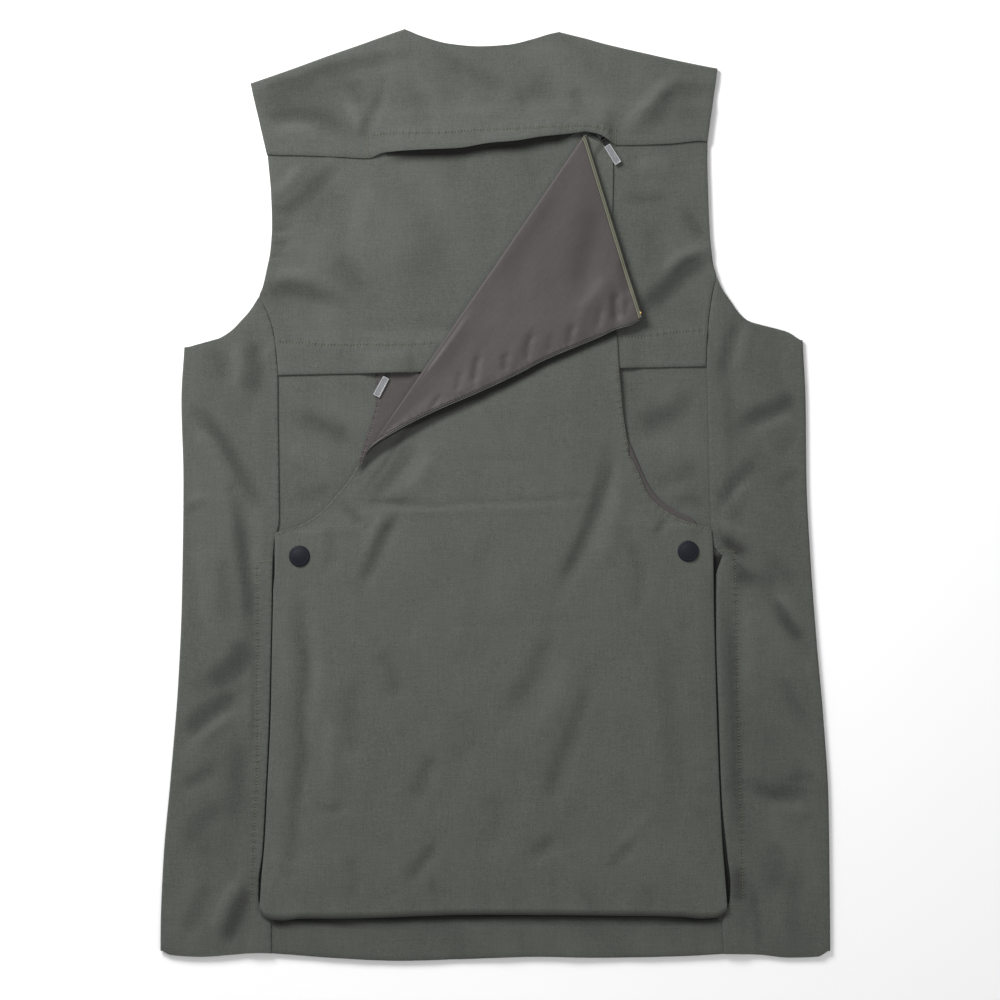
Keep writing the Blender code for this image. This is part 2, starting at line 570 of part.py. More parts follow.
def bag_front(name):
    inner_radius, outer_radius = FLAP_FOLD - LAYER - CLOTH, FLAP_FOLD - LAYER
    under, over, count = [], [], len(FLAP_SHARES)
    body_columns = BAG_COLUMNS + 3
    right_rows = [along(BAG_RIGHT_UPPER, 0.0)]
    for share in FLAP_SHARES[1:]:
        y = (CORNER_A + FOLD_LINE * share)[1]
        right_rows.append(np.array((x_at(BAG_RIGHT_UPPER, y), y)))
    for share, right in zip(FLAP_SHARES, right_rows):
        start, turned, lift = flap_row(share)
        lower = bag_columns(start, right)[::-1]
        levels = bag_height(lower)
        levels[-1] = height_at(BAG_CREST, lower[-1][1])
        low = [(*p, z) for p, z in zip(lower, levels)]
        high = [(*p, z + CLOTH) for p, z in zip(lower, levels)]
        low += fold_section(share, outer_radius)[1:]
        high += fold_section(share, inner_radius)[1:]
        levels = upper_height(turned, lift, 0.0)
        low += [(*p, z + CLOTH) for p, z in zip(turned, levels)]
        high += [(*p, z) for p, z in zip(turned, levels)]
        under.append(low)
        over.append(high)
    spare = len(under[0]) - body_columns

    def add_row(points, low_levels, high_levels, shift=None):
        low = [(*p, z) for p, z in zip(points, low_levels)]
        high = [(*p, z) for p, z in zip(points if shift is None else shift, high_levels)]
        under.append(low + [low[-1]] * spare)
        over.append(high + [high[-1]] * spare)

    for row in BAG_ROWS:
        points = bag_columns((row.left_x, row.left_y), (row.right_x, row.right_y))[::-1]
        levels = bag_height(points)
        side = height_at(BAG_SIDE, points[0][1])
        if side < levels[0] or row.left_y < ROLL_START:
            levels[0] = levels[-1] = side
        add_row(points, levels, levels + CLOTH)

    foot = bag_columns((BAG_BOTTOM[0].x, 0.0), (BAG_BOTTOM[-1].x, 0.0))[::-1]
    foot[:, 1] = [y_at(BAG_BOTTOM, x) + ROLL for x in foot[:, 0]]
    centre = LAP + ROLL
    for step in range(FOLD_FLATS + 1):
        angle = math.pi * step / FOLD_FLATS
        rings = [foot - np.array((0.0, radius * math.sin(angle)))
                 for radius in (ROLL - CLOTH, ROLL)]
        levels = [np.full(len(foot), centre + radius * math.cos(angle))
                  for radius in (ROLL - CLOTH, ROLL)]
        add_row(rings[0], levels[0], levels[1], rings[1])
    back = foot + np.array((0.0, ROLL_RETURN - ROLL))
    add_row(back, np.full(len(back), LAP + CLOTH), np.full(len(back), LAP))

    under, over = np.array(under), np.array(over)
    kept = np.ones((under.shape[0] - 1, under.shape[1] - 1), bool)
    kept[count - 1:, body_columns - 1:] = False
    half_roll = count + len(BAG_ROWS) + 2
    kept[half_roll:, 0] = False
    kept[half_roll:, body_columns - 2] = False
    return wall(name, OLIVE, under, over, kept)


def flap_lining(name):
    """Brown lining outside the fold, ending a little inside the flap's free edges."""
    under, over = [], []
    shares = (0.004,) + FLAP_SHARES[1:-1] + (FLAP_SHARES[-1] - 0.004,)
    for share in shares:
        start, turned, lift = flap_row(share, inset=1.0)
        y = start[1]
        right = along(BAG_RIGHT_UPPER, 0.0) if share < 0.01 else (x_at(BAG_RIGHT_UPPER, y), y)
        creep = min(FLAP_CREEP, CREEP_SHARE * np.hypot(*(np.array(right) - start)))
        first = start + np.array((1.0, -0.3 if share < 0.01 else 0.0)) * creep
        crest = height_at(BAG_CREST, start[1]) - LAYER
        low = [(*first, crest)] + fold_section(share, FLAP_FOLD)
        high = [(*first, crest + CLOTH)] + fold_section(share, FLAP_FOLD - CLOTH)
        levels = upper_height(turned, lift, LAYER)
        low += [(*p, z + CLOTH) for p, z in zip(turned, levels)]
        high += [(*p, z) for p, z in zip(turned, levels)]
        under.append(low)
        over.append(high)
    return wall(name, BROWN, np.array(under), np.array(over))


def flap_tape(name):
    """Zip tape along the flap's edge from A to B, on the lining."""
    width = TAPE / (np.hypot(*FOLD_LINE) * TAPE_SLANT)
    points, heights = [], []
    for share in (0.005, 0.005 + width):
        start, turned, lift = flap_row(share, inset=1.0)
        line = np.vstack([start + (turned[0] - start) * 0.3, turned])
        rise = np.concatenate(([0.0], lift))
        points.append(line)
        heights.append(upper_height(line, rise, 2 * LAYER + 0.1))
    return flat_wall(name, TAPE_OLIVE, np.array(points), np.array(heights))


def bag_lining(name):
    shares = np.linspace(0.0, 1.0, 9)
    points = np.array([[(span.left + (span.right - span.left) * share, span.y)
                        for share in shares] for span in LINING_SPANS])
    return flat_wall(name, BROWN, points, np.full(points.shape[:2], LAP))


def back_tape(name):
    xs = np.linspace(*TAPE_BACK_SIDES, 9)
    points = np.array([[(x, y) for x in xs] for y in (TAPE_BACK_TOP, TAPE_BACK_FOOT)])
    return flat_wall(name, TAPE_DARK, points, np.full(points.shape[:2], LAP))


def yoke_tape(name):
    points = np.array([[(row.left_x, row.left_y) for row in TAPE_YOKE_COLUMNS],
                       [(row.right_x, row.right_y) for row in TAPE_YOKE_COLUMNS]])
    return flat_wall(name, TAPE_DARK, points, np.full(points.shape[:2], LAP))


# Hard trim. Slider and pull are drawn along -Y from their pin at the origin.

def prism(name, outline, low, high):
    """Solid between two levels over an outline of plan points."""
    form = bmesh.new()
    face = form.faces.new([form.verts.new(Vector((x, y, low)) * MM) for x, y in outline])
    raised = bmesh.ops.extrude_face_region(form, geom=[face])
    tops = [item for item in raised["geom"] if isinstance(item, bmesh.types.BMVert)]
    bmesh.ops.translate(form, verts=tops, vec=Vector((0.0, 0.0, high - low)) * MM)
    bmesh.ops.recalc_face_normals(form, faces=form.faces)
    mesh = bpy.data.meshes.new(name)
    form.to_mesh(mesh)
    form.free()
    return mesh


def rod(name, radius, width, sides=20):
    """Cylinder along X, centred on the origin."""
    form = bmesh.new()
    bmesh.ops.create_cone(form, cap_ends=True, segments=sides, radius1=radius * MM,
                          radius2=radius * MM, depth=width * MM)
    bmesh.ops.rotate(form, verts=form.verts, matrix=Matrix.Rotation(math.radians(90), 3, "Y"))
    mesh = bpy.data.meshes.new(name)
    form.to_mesh(mesh)
    form.free()
    return mesh


def cut_or_join(piece, mesh, operation):
    """Add or cut a shape with a Boolean, and keep only the result."""
    tool = bpy.data.objects.new(mesh.name, mesh)
    bpy.context.scene.collection.objects.link(tool)
    tool.matrix_world = piece.matrix_world
    modifier = piece.modifiers.new(operation, "BOOLEAN")
    modifier.operation = operation
    modifier.object = tool
    bpy.context.view_layer.update()
    shape = bpy.data.meshes.new_from_object(
        piece.evaluated_get(bpy.context.evaluated_depsgraph_get()))
    piece.modifiers.clear()
    piece.data = shape
    bpy.data.objects.remove(tool)


def shade_round(piece):
    piece.data.shade_smooth()
    piece.data.set_sharp_from_angle(angle=math.radians(35))


def set_on_pin(piece, pin, turn):
    """Place a piece with its origin on the pin, turned from straight down."""
    piece.location = Vector((pin.x, pin.y, PIN_HEIGHT)) * MM
    piece.rotation_euler = (0.0, 0.0, math.radians(turn))


def zip_pull(name, pin, turn):
    """Plate with a raised rim, a neck, and an eye round the slider's pin."""
    low = -EYE_RADIUS
    high = low + PULL_THICK
    top, foot = PULL_TOP_WIDTH / 2, PULL_FOOT_WIDTH / 2
    start, end = -PULL_SHOULDER, -PULL_SHOULDER - PULL_LENGTH
    upper, lower = PULL_CORNERS
    plate = prism(name, ((-top + upper, start), (-top, start - upper), (-foot, end + lower),
                         (-foot + lower, end), (foot - lower, end), (foot, end + lower),
                         (top, start - upper), (top - upper, start)), low, high)
    form = bmesh.new()
    form.from_mesh(plate)
    form.faces.ensure_lookup_table()
    crown = [face for face in form.faces if face.normal.z > 0.9]
    bmesh.ops.inset_region(form, faces=crown, thickness=PULL_RIM * MM)
    bmesh.ops.inset_region(form, faces=crown, thickness=0.2 * MM, depth=-PULL_RECESS * MM)
    form.to_mesh(plate)
    form.free()
    piece = place(name, plate, NICKEL)
    neck = NECK_WIDTH / 2
    bar = prism("neck", ((-neck, 0.0), (-neck, start - 0.5), (neck, start - 0.5), (neck, 0.0)),
                low, high - 0.1)
    cut_or_join(piece, bar, "UNION")
    cut_or_join(piece, rod("eye", EYE_RADIUS, EYE_WIDTH), "UNION")
    cut_or_join(piece, rod("hole", EYE_HOLE, EYE_WIDTH + 2.0, 16), "DIFFERENCE")
    shade_round(piece)
    set_on_pin(piece, pin, turn)
    return piece


def zip_slider(name, pin, turn):
    """Slider body behind the pin, two lugs beside the pull's eye, and the pin."""
    low = SEAT + GAP - PIN_HEIGHT
    near, far = SLIDER_START, SLIDER_START + SLIDER_LENGTH
    side = SLIDER_WIDTH / 2
    corner = SLIDER_CORNER
    body = prism(name, ((-side, near), (side, near), (side, far - corner),
                        (side - corner, far), (-side + corner, far),
                        (-side, far - corner)), low, low + SLIDER_TALL)
    piece = place(name, body, NICKEL)
    inner = EYE_WIDTH / 2 + LUG_CLEAR
    outer = inner + LUG_THICK
    for left, right in ((-outer, -inner), (inner, outer)):
        lug = prism("lug", ((left, -LUG_FRONT), (right, -LUG_FRONT), (right, near + 0.5),
                            (left, near + 0.5)), low, 1.0)
        cut_or_join(piece, lug, "UNION")
    cut_or_join(piece, rod("pin", PIN_RADIUS, 2 * inner + LUG_THICK, 12), "UNION")
    shade_round(piece)
    set_on_pin(piece, pin, turn)
    return piece


def snap_cap(name, spot):
    """Domed snap cap with a shallow ring, turned about its own axis."""
    form = bmesh.new()
    rings = []
    for radius, height in SNAP_PROFILE:
        rings.append([form.verts.new(Vector((
            radius * math.cos(2 * math.pi * side / SNAP_SIDES),
            radius * math.sin(2 * math.pi * side / SNAP_SIDES), height)) * MM)
            for side in range(SNAP_SIDES)])
    crown = form.verts.new(Vector((0.0, 0.0, SNAP_CROWN)) * MM)
    form.faces.new(rings[0])
    for low, high in zip(rings, rings[1:]):
        for side in range(SNAP_SIDES):
            after = (side + 1) % SNAP_SIDES
            form.faces.new((low[side], low[after], high[after], high[side]))
    for side in range(SNAP_SIDES):
        form.faces.new((rings[-1][side], rings[-1][(side + 1) % SNAP_SIDES], crown))
    bmesh.ops.recalc_face_normals(form, faces=form.faces)
    mesh = bpy.data.meshes.new(name)
    form.to_mesh(mesh)
    form.free()
    piece = place(name, mesh, NAVY)
    shade_round(piece)
    piece.location = Vector((spot.x, spot.y, OVER_LAP + CLOTH + GAP)) * MM
    return piece


def main():
    for item in list(bpy.data.objects):
        bpy.data.objects.remove(item, do_unlink=True)
    side_panel("side_left", SEAM_LEFT, ARMHOLE_LEFT, EDGE_LEFT, FRONT_SEAM_LEFT, -1)
    side_panel("side_right", SEAM_RIGHT, ARMHOLE_RIGHT, EDGE_RIGHT, FRONT_SEAM_RIGHT, 1)
    upper_back("back_upper")
    lower_back("back_lower")
    back_yoke("back_yoke")
    front("front_left", FRONT_LEFT_ROWS, FRONT_LAP, 0.0)
    front("front_right", FRONT_RIGHT_ROWS, -FRONT_LAP, LAYER)
    bag_front("bag_front")
    flap_lining("flap_lining")
    bag_lining("bag_back_lining")
    flap_tape("zip_tape_flap")
    back_tape("zip_tape_back")
    yoke_tape("zip_tape_yoke")
    zip_slider("zip_slider_upper", PIN_UPPER, PULL_TURN_UPPER)
    zip_slider("zip_slider_lower", PIN_LOWER, PULL_TURN_LOWER)
    zip_pull("zip_pull_upper", PIN_UPPER, PULL_TURN_UPPER)
    zip_pull("zip_pull_lower", PIN_LOWER, PULL_TURN_LOWER)
    snap_cap("snap_left", SNAP_LEFT)
    snap_cap("snap_right", SNAP_RIGHT)


if __name__ == "__main__":
    main()
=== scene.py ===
"""Dressed shooting vest: cloth shells, sewing, trim, materials, light and camera.

Tables and the functions that shape cloth are in millimetres; MM turns them into metres
where a mesh is made. X runs to the right, Y towards the neck, Z up from the floor.
"""
import math
from collections import namedtuple

import bmesh
import bpy
import numpy as np
from mathutils import Matrix, Vector
from mathutils.bvhtree import BVHTree


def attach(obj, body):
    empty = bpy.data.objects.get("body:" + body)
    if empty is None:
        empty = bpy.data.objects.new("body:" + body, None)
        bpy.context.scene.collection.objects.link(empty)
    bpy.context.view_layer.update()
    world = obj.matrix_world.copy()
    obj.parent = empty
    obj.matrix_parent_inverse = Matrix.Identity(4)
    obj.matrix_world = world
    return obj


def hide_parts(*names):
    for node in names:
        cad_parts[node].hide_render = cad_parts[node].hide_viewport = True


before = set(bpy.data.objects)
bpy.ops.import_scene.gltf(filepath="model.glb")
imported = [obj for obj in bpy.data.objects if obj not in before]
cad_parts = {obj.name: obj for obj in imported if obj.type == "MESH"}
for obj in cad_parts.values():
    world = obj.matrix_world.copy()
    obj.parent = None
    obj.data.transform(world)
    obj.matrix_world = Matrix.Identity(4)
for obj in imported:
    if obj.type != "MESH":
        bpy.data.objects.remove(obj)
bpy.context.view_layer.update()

MM = 0.001

# Layers, by the height of their under side
CLOTH = 1.2                      # thickness of every cloth wall
GAP = 0.3                        # clearance between layers and at seams
LAYER = CLOTH + GAP
BACK = 3.0                       # back panels, above the hollow inside the vest
LAP = BACK + LAYER               # what lies straight on the back panels
OVER_LAP = LAP + LAYER           # what lies on the lining, tapes and facings
FOLD = (BACK + CLOTH) / 2        # outer radius of the side and shoulder folds

LIP_FALL = (-136.0, 13.0)        # side panels' lips rise from this -Y down, in this length
FACING = 10.0                    # back panel's width under a side panel's lip
HEM_SIDES = (-198.0, 202.0)      # ends of the lower back's hem
FRONT_LAP = 15.0                 # each front's reach past the centre front
ROLL = 2.4                       # outer radius of the roll along the bag's lower edge
ROLL_RETURN = 20.0               # bag cloth turned back under that roll
FLAP_FOLD = 3.5                  # outer radius of the folded flap, lining outside
FLAP_LIFT = 2.2                  # how far the flap's free corner stands up
FLAP_CREEP = 9.5                 # lining's width on the flap's under side
CREEP_SHARE = 0.28               # and the most of the flap's own width that it takes
TAPE = 3.4                       # width of the zip tape that shows on the flap

Point = namedtuple("Point", "x y")
Row = namedtuple("Row", "left_x left_y right_x right_y")
Span = namedtuple("Span", "y left right")
Height = namedtuple("Height", "y z")
YokeColumn = namedtuple("YokeColumn", "low_x low_y top_x top_y edge_z middle_z lap_z")
WeltColumn = namedtuple("WeltColumn", "x edge_z upper_z")

# Princess seams and pocket lips, armhole to hem
SEAM_LEFT = [Point(*p) for p in (
    (-199, 165.9), (-194, 157.5), (-190.2, 148.3), (-186.8, 137.3), (-184.7, 123.1),
    (-183.5, 111.3), (-182.6, 100), (-182.4, 66.8), (-181.8, 20.6), (-181.4, -21.4),
    (-185.8, -42.4), (-186.8, -56.7), (-188.1, -115.5), (-189.8, -186.1), (-193.1, -256.6),
    (-195.9, -304.5), (-198.6, -323.8), (-198.8, -340.6), (-194.4, -351.5),
    (-188.5, -359.9), (-188.2, -385.6))]
SEAM_RIGHT = [Point(*p) for p in (
    (186.1, 183.1), (183.2, 171.8), (181.1, 160), (179.4, 146.6), (178.2, 130.6),
    (177.7, 118.9), (177.4, 107.4), (178.6, 66.8), (179.4, 20.6), (180.7, -21.4),
    (183, -43), (192.2, -46.5), (189, -56), (185.6, -68), (185.5, -115.5), (187.7, -186.1),
    (190.3, -256.6), (195, -304.5), (197.5, -328), (196.6, -342.3),
    (192.4, -352.4), (190.3, -359.9), (192, -385.6))]
WELT_ROWS = 7                    # seam rows that the upper back shares, top to free edge

# Armhole curves under the arms, from the seam to the side fold
ARMHOLE_LEFT = [Point(*p) for p in (
    (-199, 165.9), (-206.1, 155), (-213.7, 146.6), (-222.1, 138.2), (-231.3, 132.3),
    (-239.7, 128.9), (-248.1, 126.4), (-261.6, 123.9))]
ARMHOLE_RIGHT = [Point(*p) for p in (
    (186.1, 183.1), (190.3, 173.5), (197.1, 164.2), (205.5, 152.5), (213.9, 145.7),
    (222.3, 143.2), (239.1, 139), (247.5, 136.5), (258.4, 129.8))]

# Outer edge on each side, underarm to hem, and the whole back hem from left to right
EDGE_LEFT = [Point(*p) for p in (
    (-261.6, 123.9), (-264.1, 79.4), (-262.4, 12.2), (-263.7, -88.6), (-266.6, -155.8),
    (-273.3, -239.8), (-279.2, -307), (-281.6, -365.8), (-281.7, -383.5))]
EDGE_RIGHT = [Point(*p) for p in (
    (258.4, 129.8), (260.9, 79.4), (261.7, 12.2), (265.1, -55), (270.1, -122.2),
    (276, -189.4), (280.2, -256.6), (281.2, -323.8), (281.7, -383.5))]
HEM = [Point(*p) for p in (
    (-281.7, -383.5), (-275.9, -386.8), (-248.1, -388.5), (-222.9, -386.8), (-197.7, -385.1),
    (-176.7, -386.4), (-138.9, -389.3), (-80.1, -391.9), (-29.7, -390.6), (37.5, -388.5),
    (87.9, -389.3), (163.5, -387.7), (197.1, -386), (222.3, -386.8), (247.5, -389.3),
    (272.7, -388.5), (281.9, -383.5))]

# Front side seams, hem to underarm, straight on the vest's under side
FRONT_SEAM_LEFT = (Point(-232.0, -384.0), Point(-216.0, 136.0))
FRONT_SEAM_RIGHT = (Point(232.0, -384.0), Point(216.0, 141.0))

# Armhole edges of the upper back, above the princess seams
UPPER_ROWS = [Row(*r) for r in (
    (-195.6, 174.3, 183.6, 191.1), (-192.3, 188.6, 181.8, 202.9),
    (-189.1, 205.4, 180.4, 218), (-187.8, 226.4, 179.4, 236.5),
    (-188.5, 251.6, 178.8, 255.8), (-190.6, 276.8, 178.2, 281),
    (-191.9, 289.4, 178.4, 297.8), (-192.7, 302, 179.8, 320.5))]

# Mid-back welt of the upper back: heights of its free edge and of the row above it
WELT_COLUMNS = [WeltColumn(*c) for c in (
    (-182.6, LAP, LAP), (-150, LAP, LAP), (-118, LAP, LAP), (-107, OVER_LAP, OVER_LAP),
    (-97, 9.1, 6.9), (-87, 9.1, 6.9), (-76, 9.1, 6.9), (-66, OVER_LAP, OVER_LAP),
    (-40, OVER_LAP, OVER_LAP), (-12, OVER_LAP, OVER_LAP), (16, OVER_LAP, OVER_LAP),
    (44, OVER_LAP, OVER_LAP), (72, OVER_LAP, OVER_LAP), (96, OVER_LAP, OVER_LAP),
    (112, OVER_LAP, OVER_LAP), (125, LAP, LAP), (150, LAP, LAP), (177.4, LAP, LAP))]
BACK_LOWER_TOP = 121.4

# Yoke columns: lower edge, shoulder or neck point, and heights of the lapping rows.
# Between the two bartacks the lower edge is the free welt of the game bag's opening.
YOKE_COLUMNS = [YokeColumn(*c) for c in (
    (-191.9, 285.2, -206.1, 345.7, LAP, LAP, LAP),
    (-164.1, 284.8, -172.5, 357.4, LAP, LAP, LAP),
    (-130.5, 283.5, -138.9, 369.6, LAP, LAP, LAP),
    (-107, 282.4, -108.7, 380.1, LAP, LAP, LAP),
    (-93.6, 286.9, -90.2, 386.8, 6.6, 6.3, OVER_LAP),
    (-80.1, 288, -76.8, 391.4, 7.2, 6.6, OVER_LAP),
    (-54.9, 289.2, -59.1, 384.3, 7.8, 7, OVER_LAP),
    (-32.3, 290.2, -38.1, 378.8, 8.1, 7.2, OVER_LAP),
    (-4.5, 294.6, -12.9, 376.7, 8.1, 7.2, OVER_LAP),
    (17.3, 296.4, 10.6, 378, 8.1, 7.2, OVER_LAP),
    (39.1, 299.9, 32.4, 383, 8.1, 7.2, OVER_LAP),
    (61, 302.3, 45, 386.8, 8.1, 7.4, OVER_LAP),
    (75.3, 304.1, 54.3, 388.9, 9.1, 9.1, OVER_LAP),
    (86.2, 302, 66, 386, 9.1, 9.1, OVER_LAP),
    (93.7, 298.2, 79.5, 382.6, 9.1, 9.1, OVER_LAP),
    (98.4, 294.8, 87.9, 380.1, 6.6, 6.3, OVER_LAP),
    (102.1, 293.4, 97.9, 377.6, LAP, LAP, LAP),
    (121.5, 293.7, 121.5, 372.1, LAP, LAP, LAP),
    (148.3, 294.8, 155.1, 364.6, LAP, LAP, LAP),
    (172.7, 297.1, 180.3, 359.5, LAP, LAP, LAP),
    (178.2, 296.1, 187, 358.3, LAP, LAP, LAP))]
NECK_LEFT, NECK_RIGHT = 5, 12    # yoke columns at the two neck points
YOKE_LAP = (Point(-192.7, 306.2), Point(179.8, 324.7))

# Shoulder seams on the front side: outer end and neck end
SHOULDER_LEFT = (Point(-196.0, 318.6), Point(-67.5, 361.6))
SHOULDER_RIGHT = (Point(178.0, 330.8), Point(46.5, 360.0))

# Fronts, hem to shoulder: armhole or side edge, then centre edge without its lap
FRONT_LEFT_ROWS = [Row(*r) for r in (
    (-232, -384, 0, -387), (-229.1, -290, -1, -290),
    (-226.3, -200, -2, -200), (-223.3, -100, -4, -100),
    (-220.2, 0, -5, 0), (-217.7, 80, -6, 80), (-216, 136, -7, 136),
    (-203, 147, -7, 155), (-193, 163, -7, 180), (-186, 185, -7, 205),
    (-182, 215, -7, 240), (-182, 250, -8, 285), (-186, 282, -30, 296),
    (-191, 303, -62, 318), (-196, 318.6, -67.5, 361.6))]
FRONT_RIGHT_ROWS = [Row(*r) for r in (
    (232, -384, 0, -387), (229.1, -290, -1, -290),
    (226.4, -200, -2, -200), (223.3, -100, -4, -100),
    (220.3, 0, -5, 0), (217.9, 80, -6, 80), (216, 141, -7, 141),
    (203, 152, -7, 160), (190, 170, -7, 185), (180, 194, -7, 210),
    (174, 226, -7, 245), (173, 262, -8, 285), (174, 294, 12, 298),
    (176, 314, 40, 320), (178, 330.8, 46.5, 360))]

# Game bag front. The fold runs from A by the upper zip pull to C on the left edge, and
# turns the bag's upper left corner over to B. Shares are places along the fold.
CORNER_A = Point(74.8, 302.4)
CORNER_C = Point(-112.1, 29.0)
FLAP_EDGE = [Point(*p) for p in (
    (123.6, 147.9), (113, 141.6), (101.3, 138.2), (88.7, 132.3), (37.5, 110.5),
    (20.7, 101.6), (-12.1, 86.1), (-52.4, 68.7), (-82.7, 53.3), (-106.2, 37.4),
    (-112.1, 29))]
FLAP_SKEW = 0.025                # rows lean back from the free edge's far end by this share
BAG_RIGHT_UPPER = [Point(*p) for p in (
    (98.8, 290.2), (98.8, 281), (98.4, 247.4), (97.9, 213.8), (98.8, 180.2),
    (100.9, 146.6), (102.6, 125.6), (103.8, 106.3), (105.5, 87.8), (107.2, 69.3),
    (109.7, 52.5), (111.8, 40.7))]
BAG_ROWS = [Row(*r) for r in (
    (-113.4, 27.3, 116, 27.3), (-122.1, 13, 122.3, 13.9), (-133.1, -0.4, 129.4, -1.3),
    (-145.7, -13.9, 140.8, -12.2), (-160.8, -24.4, 155.1, -20.4),
    (-175.9, -29.8, 169.3, -25.2), (-185.1, -32.8, 181.1, -28.6),
    (-185.1, -56.7, 183, -55), (-185.7, -88.6, 183.5, -88.6),
    (-186.6, -130.6, 184.5, -130.6), (-187.7, -186.1, 186.1, -186.1),
    (-190.2, -239.8, 188.1, -239.8), (-192.7, -290.2, 190.6, -290.2),
    (-195.4, -323.8, 192.9, -323.8))]
BAG_BOTTOM = [Point(*p) for p in (
    (-198.2, -349.9), (-194.4, -354.9), (-178.4, -357.4), (-163.3, -355.7),
    (-130.5, -355.7), (-12.9, -352.4), (87.9, -353.2), (155.1, -354.1),
    (171.9, -355.7), (185.3, -354.9), (194.5, -349.9))]

# Height of the bag front along the fold, and the least height away from it
BAG_CREST = [Height(*h) for h in (
    (305, 6), (205, 6), (180, 6.6), (155, 7.9), (134, 9), (98, 9),
    (78, 8.4), (52, 7.5), (27, 7.5), (-10, 6), (-400, 6))]
BAG_FLOOR = [Height(*h) for h in (
    (305, 4.5), (205, 4.5), (180, 5.1), (155, 6.4), (134, 7.5), (98, 7.5),
    (78, 6.9), (52, 6), (-290, 6), (-323.8, 7.2), (-350, 8.1))]
BAG_SIDE = [Height(*h) for h in (
    (305, 4.5), (205, 4.5), (180, 5.1), (155, 6.4), (134, 7.5), (98, 7.5),
    (78, 6.9), (52, 6), (-56, 6), (-88.6, 4.5), (-290, 4.5), (-323.8, 6.5),
    (-350, 8.1))]
CREST_START, CREST_WIDTH = 14.0, 6.0

# Brown lining on the bag's back wall, from under the mid-back welt to the bag's foot
LINING_SPANS = [Span(*s) for s in (
    (103, -99.9, 102.1), (79.4, -100.3, 103.8), (60.9, -104.5, 106.3),
    (44.9, -109.5, 112.2), (29.8, -114.1, 118.5), (16.4, -118.8, 124.4),
    (3.8, -125.5, 131.5), (-7.1, -133.9, 141.6), (-15.5, -142.3, 155.1),
    (-22.3, -153.2, 167.7), (-34, -170, 170.6), (-55, -172.5, 170.6),
    (-122.2, -174.2, 171.9), (-189.4, -175.5, 174), (-256.6, -178.4, 176.5),
    (-328, -183.5, 181.1))]

# Zip tapes under the two welts
TAPE_BACK_TOP, TAPE_BACK_FOOT = 118.8, 103.4
TAPE_BACK_SIDES = (-99.0, 103.0)
TAPE_YOKE_COLUMNS = [Row(*r) for r in (   # upper point, then lower point
    (-91, 301, -91, 291), (-60, 304, -60, 292), (-30, 306, -30, 293.5),
    (0, 309, 0, 298), (30, 312, 30, 301.5), (58, 314, 58, 305),
    (75, 315, 75, 306.5), (80.5, 314, 80.5, 301.8), (86.2, 312, 86.2, 299.8),
    (92, 308, 92, 296.6))]
TAPE_SHADOW_DROP, TAPE_SHADOW_TO = 2.6, 70  # how far the dark tape hangs below the welt, left of this X, as painted shadow of the gap under it

SNAP_PROFILE = ((0.0, 3.0), (2.2, 2.88), (4.4, 2.52), (6.2, 2.06), (6.7, 1.94), (7.1, 1.9),
                (7.6, 1.88), (8.1, 1.7), (8.6, 1.25), (8.85, 0.7), (8.85, 0))
SNAP_SPOTS = {"snap_left": Point(-164.2, -51.7), "snap_right": Point(161.7, -47.6)}

# Zip pulls, drawn along -Y from a pin, then turned about it
SEAT = LAP + CLOTH               # top of the tape and lining that a pull lies on
PIN_UPPER = Point(90.9, 297.4)
PIN_LOWER = Point(-89.0, 103.0)
PULL_TURN_UPPER = 32.0           # degrees to the right of straight down
PULL_TURN_LOWER = -28.1
EYE_RADIUS = 1.4
PULL_SHOULDER = 5.2              # pin to the top of the pull's plate
PULL_LENGTH = 17.9
PULL_TOP_WIDTH = 5.6
PULL_FOOT_WIDTH = 6.1
PULL_RECESS = 0.25
PIN_HEIGHT = SEAT + GAP + EYE_RADIUS

STEP = 3.6                       # spacing of the points in the shells with fine creases
WIDE_STEP = 5.0                  # and in the others
EDGE_TURN = 0.8                  # how far in from a cut edge the cloth starts to turn down
EDGE_DROP = 0.45                 # and how far down it turns
CREASE_SCALE = 2.3               # depth of the laid creases over their tables
BROAD = 8.0                      # creases wider than this are shallower in proportion
BACK_DEPTH = 1.7                 # most that the back panels may sink
WELT_GAPE = 2.4                  # how far the yoke's welt stands off the bag's opening
PAINTED_SHADOW_UNDER_EDGE = 0.8                 # depth of the painted shadow on the cloth under a free edge
SHADOW_REACH_UNDER_FLAP = [Point(*p) for p in (   # how far that painted shadow reaches under the flap's free edge
    (-120, 5), (-106, 13), (-75, 12), (-50, 10), (-20, 9), (0, 8),
    (50, 6), (88, 4.5), (100, 6), (124, 6))]
BAG_DEPTH = 0.75                 # depth of the bag's creases beside the back's
BAG_SHADE = 0.4                  # how much of their depth paints shade into the bag's creases
HOLLOW = 1.65                    # room over one front for its creases
LAP_CENTRE, LAP_HALF = -5.0, 24.0  # middle of the fronts' lap, and half of its flat part

Crease = namedtuple("Crease", "points width height")

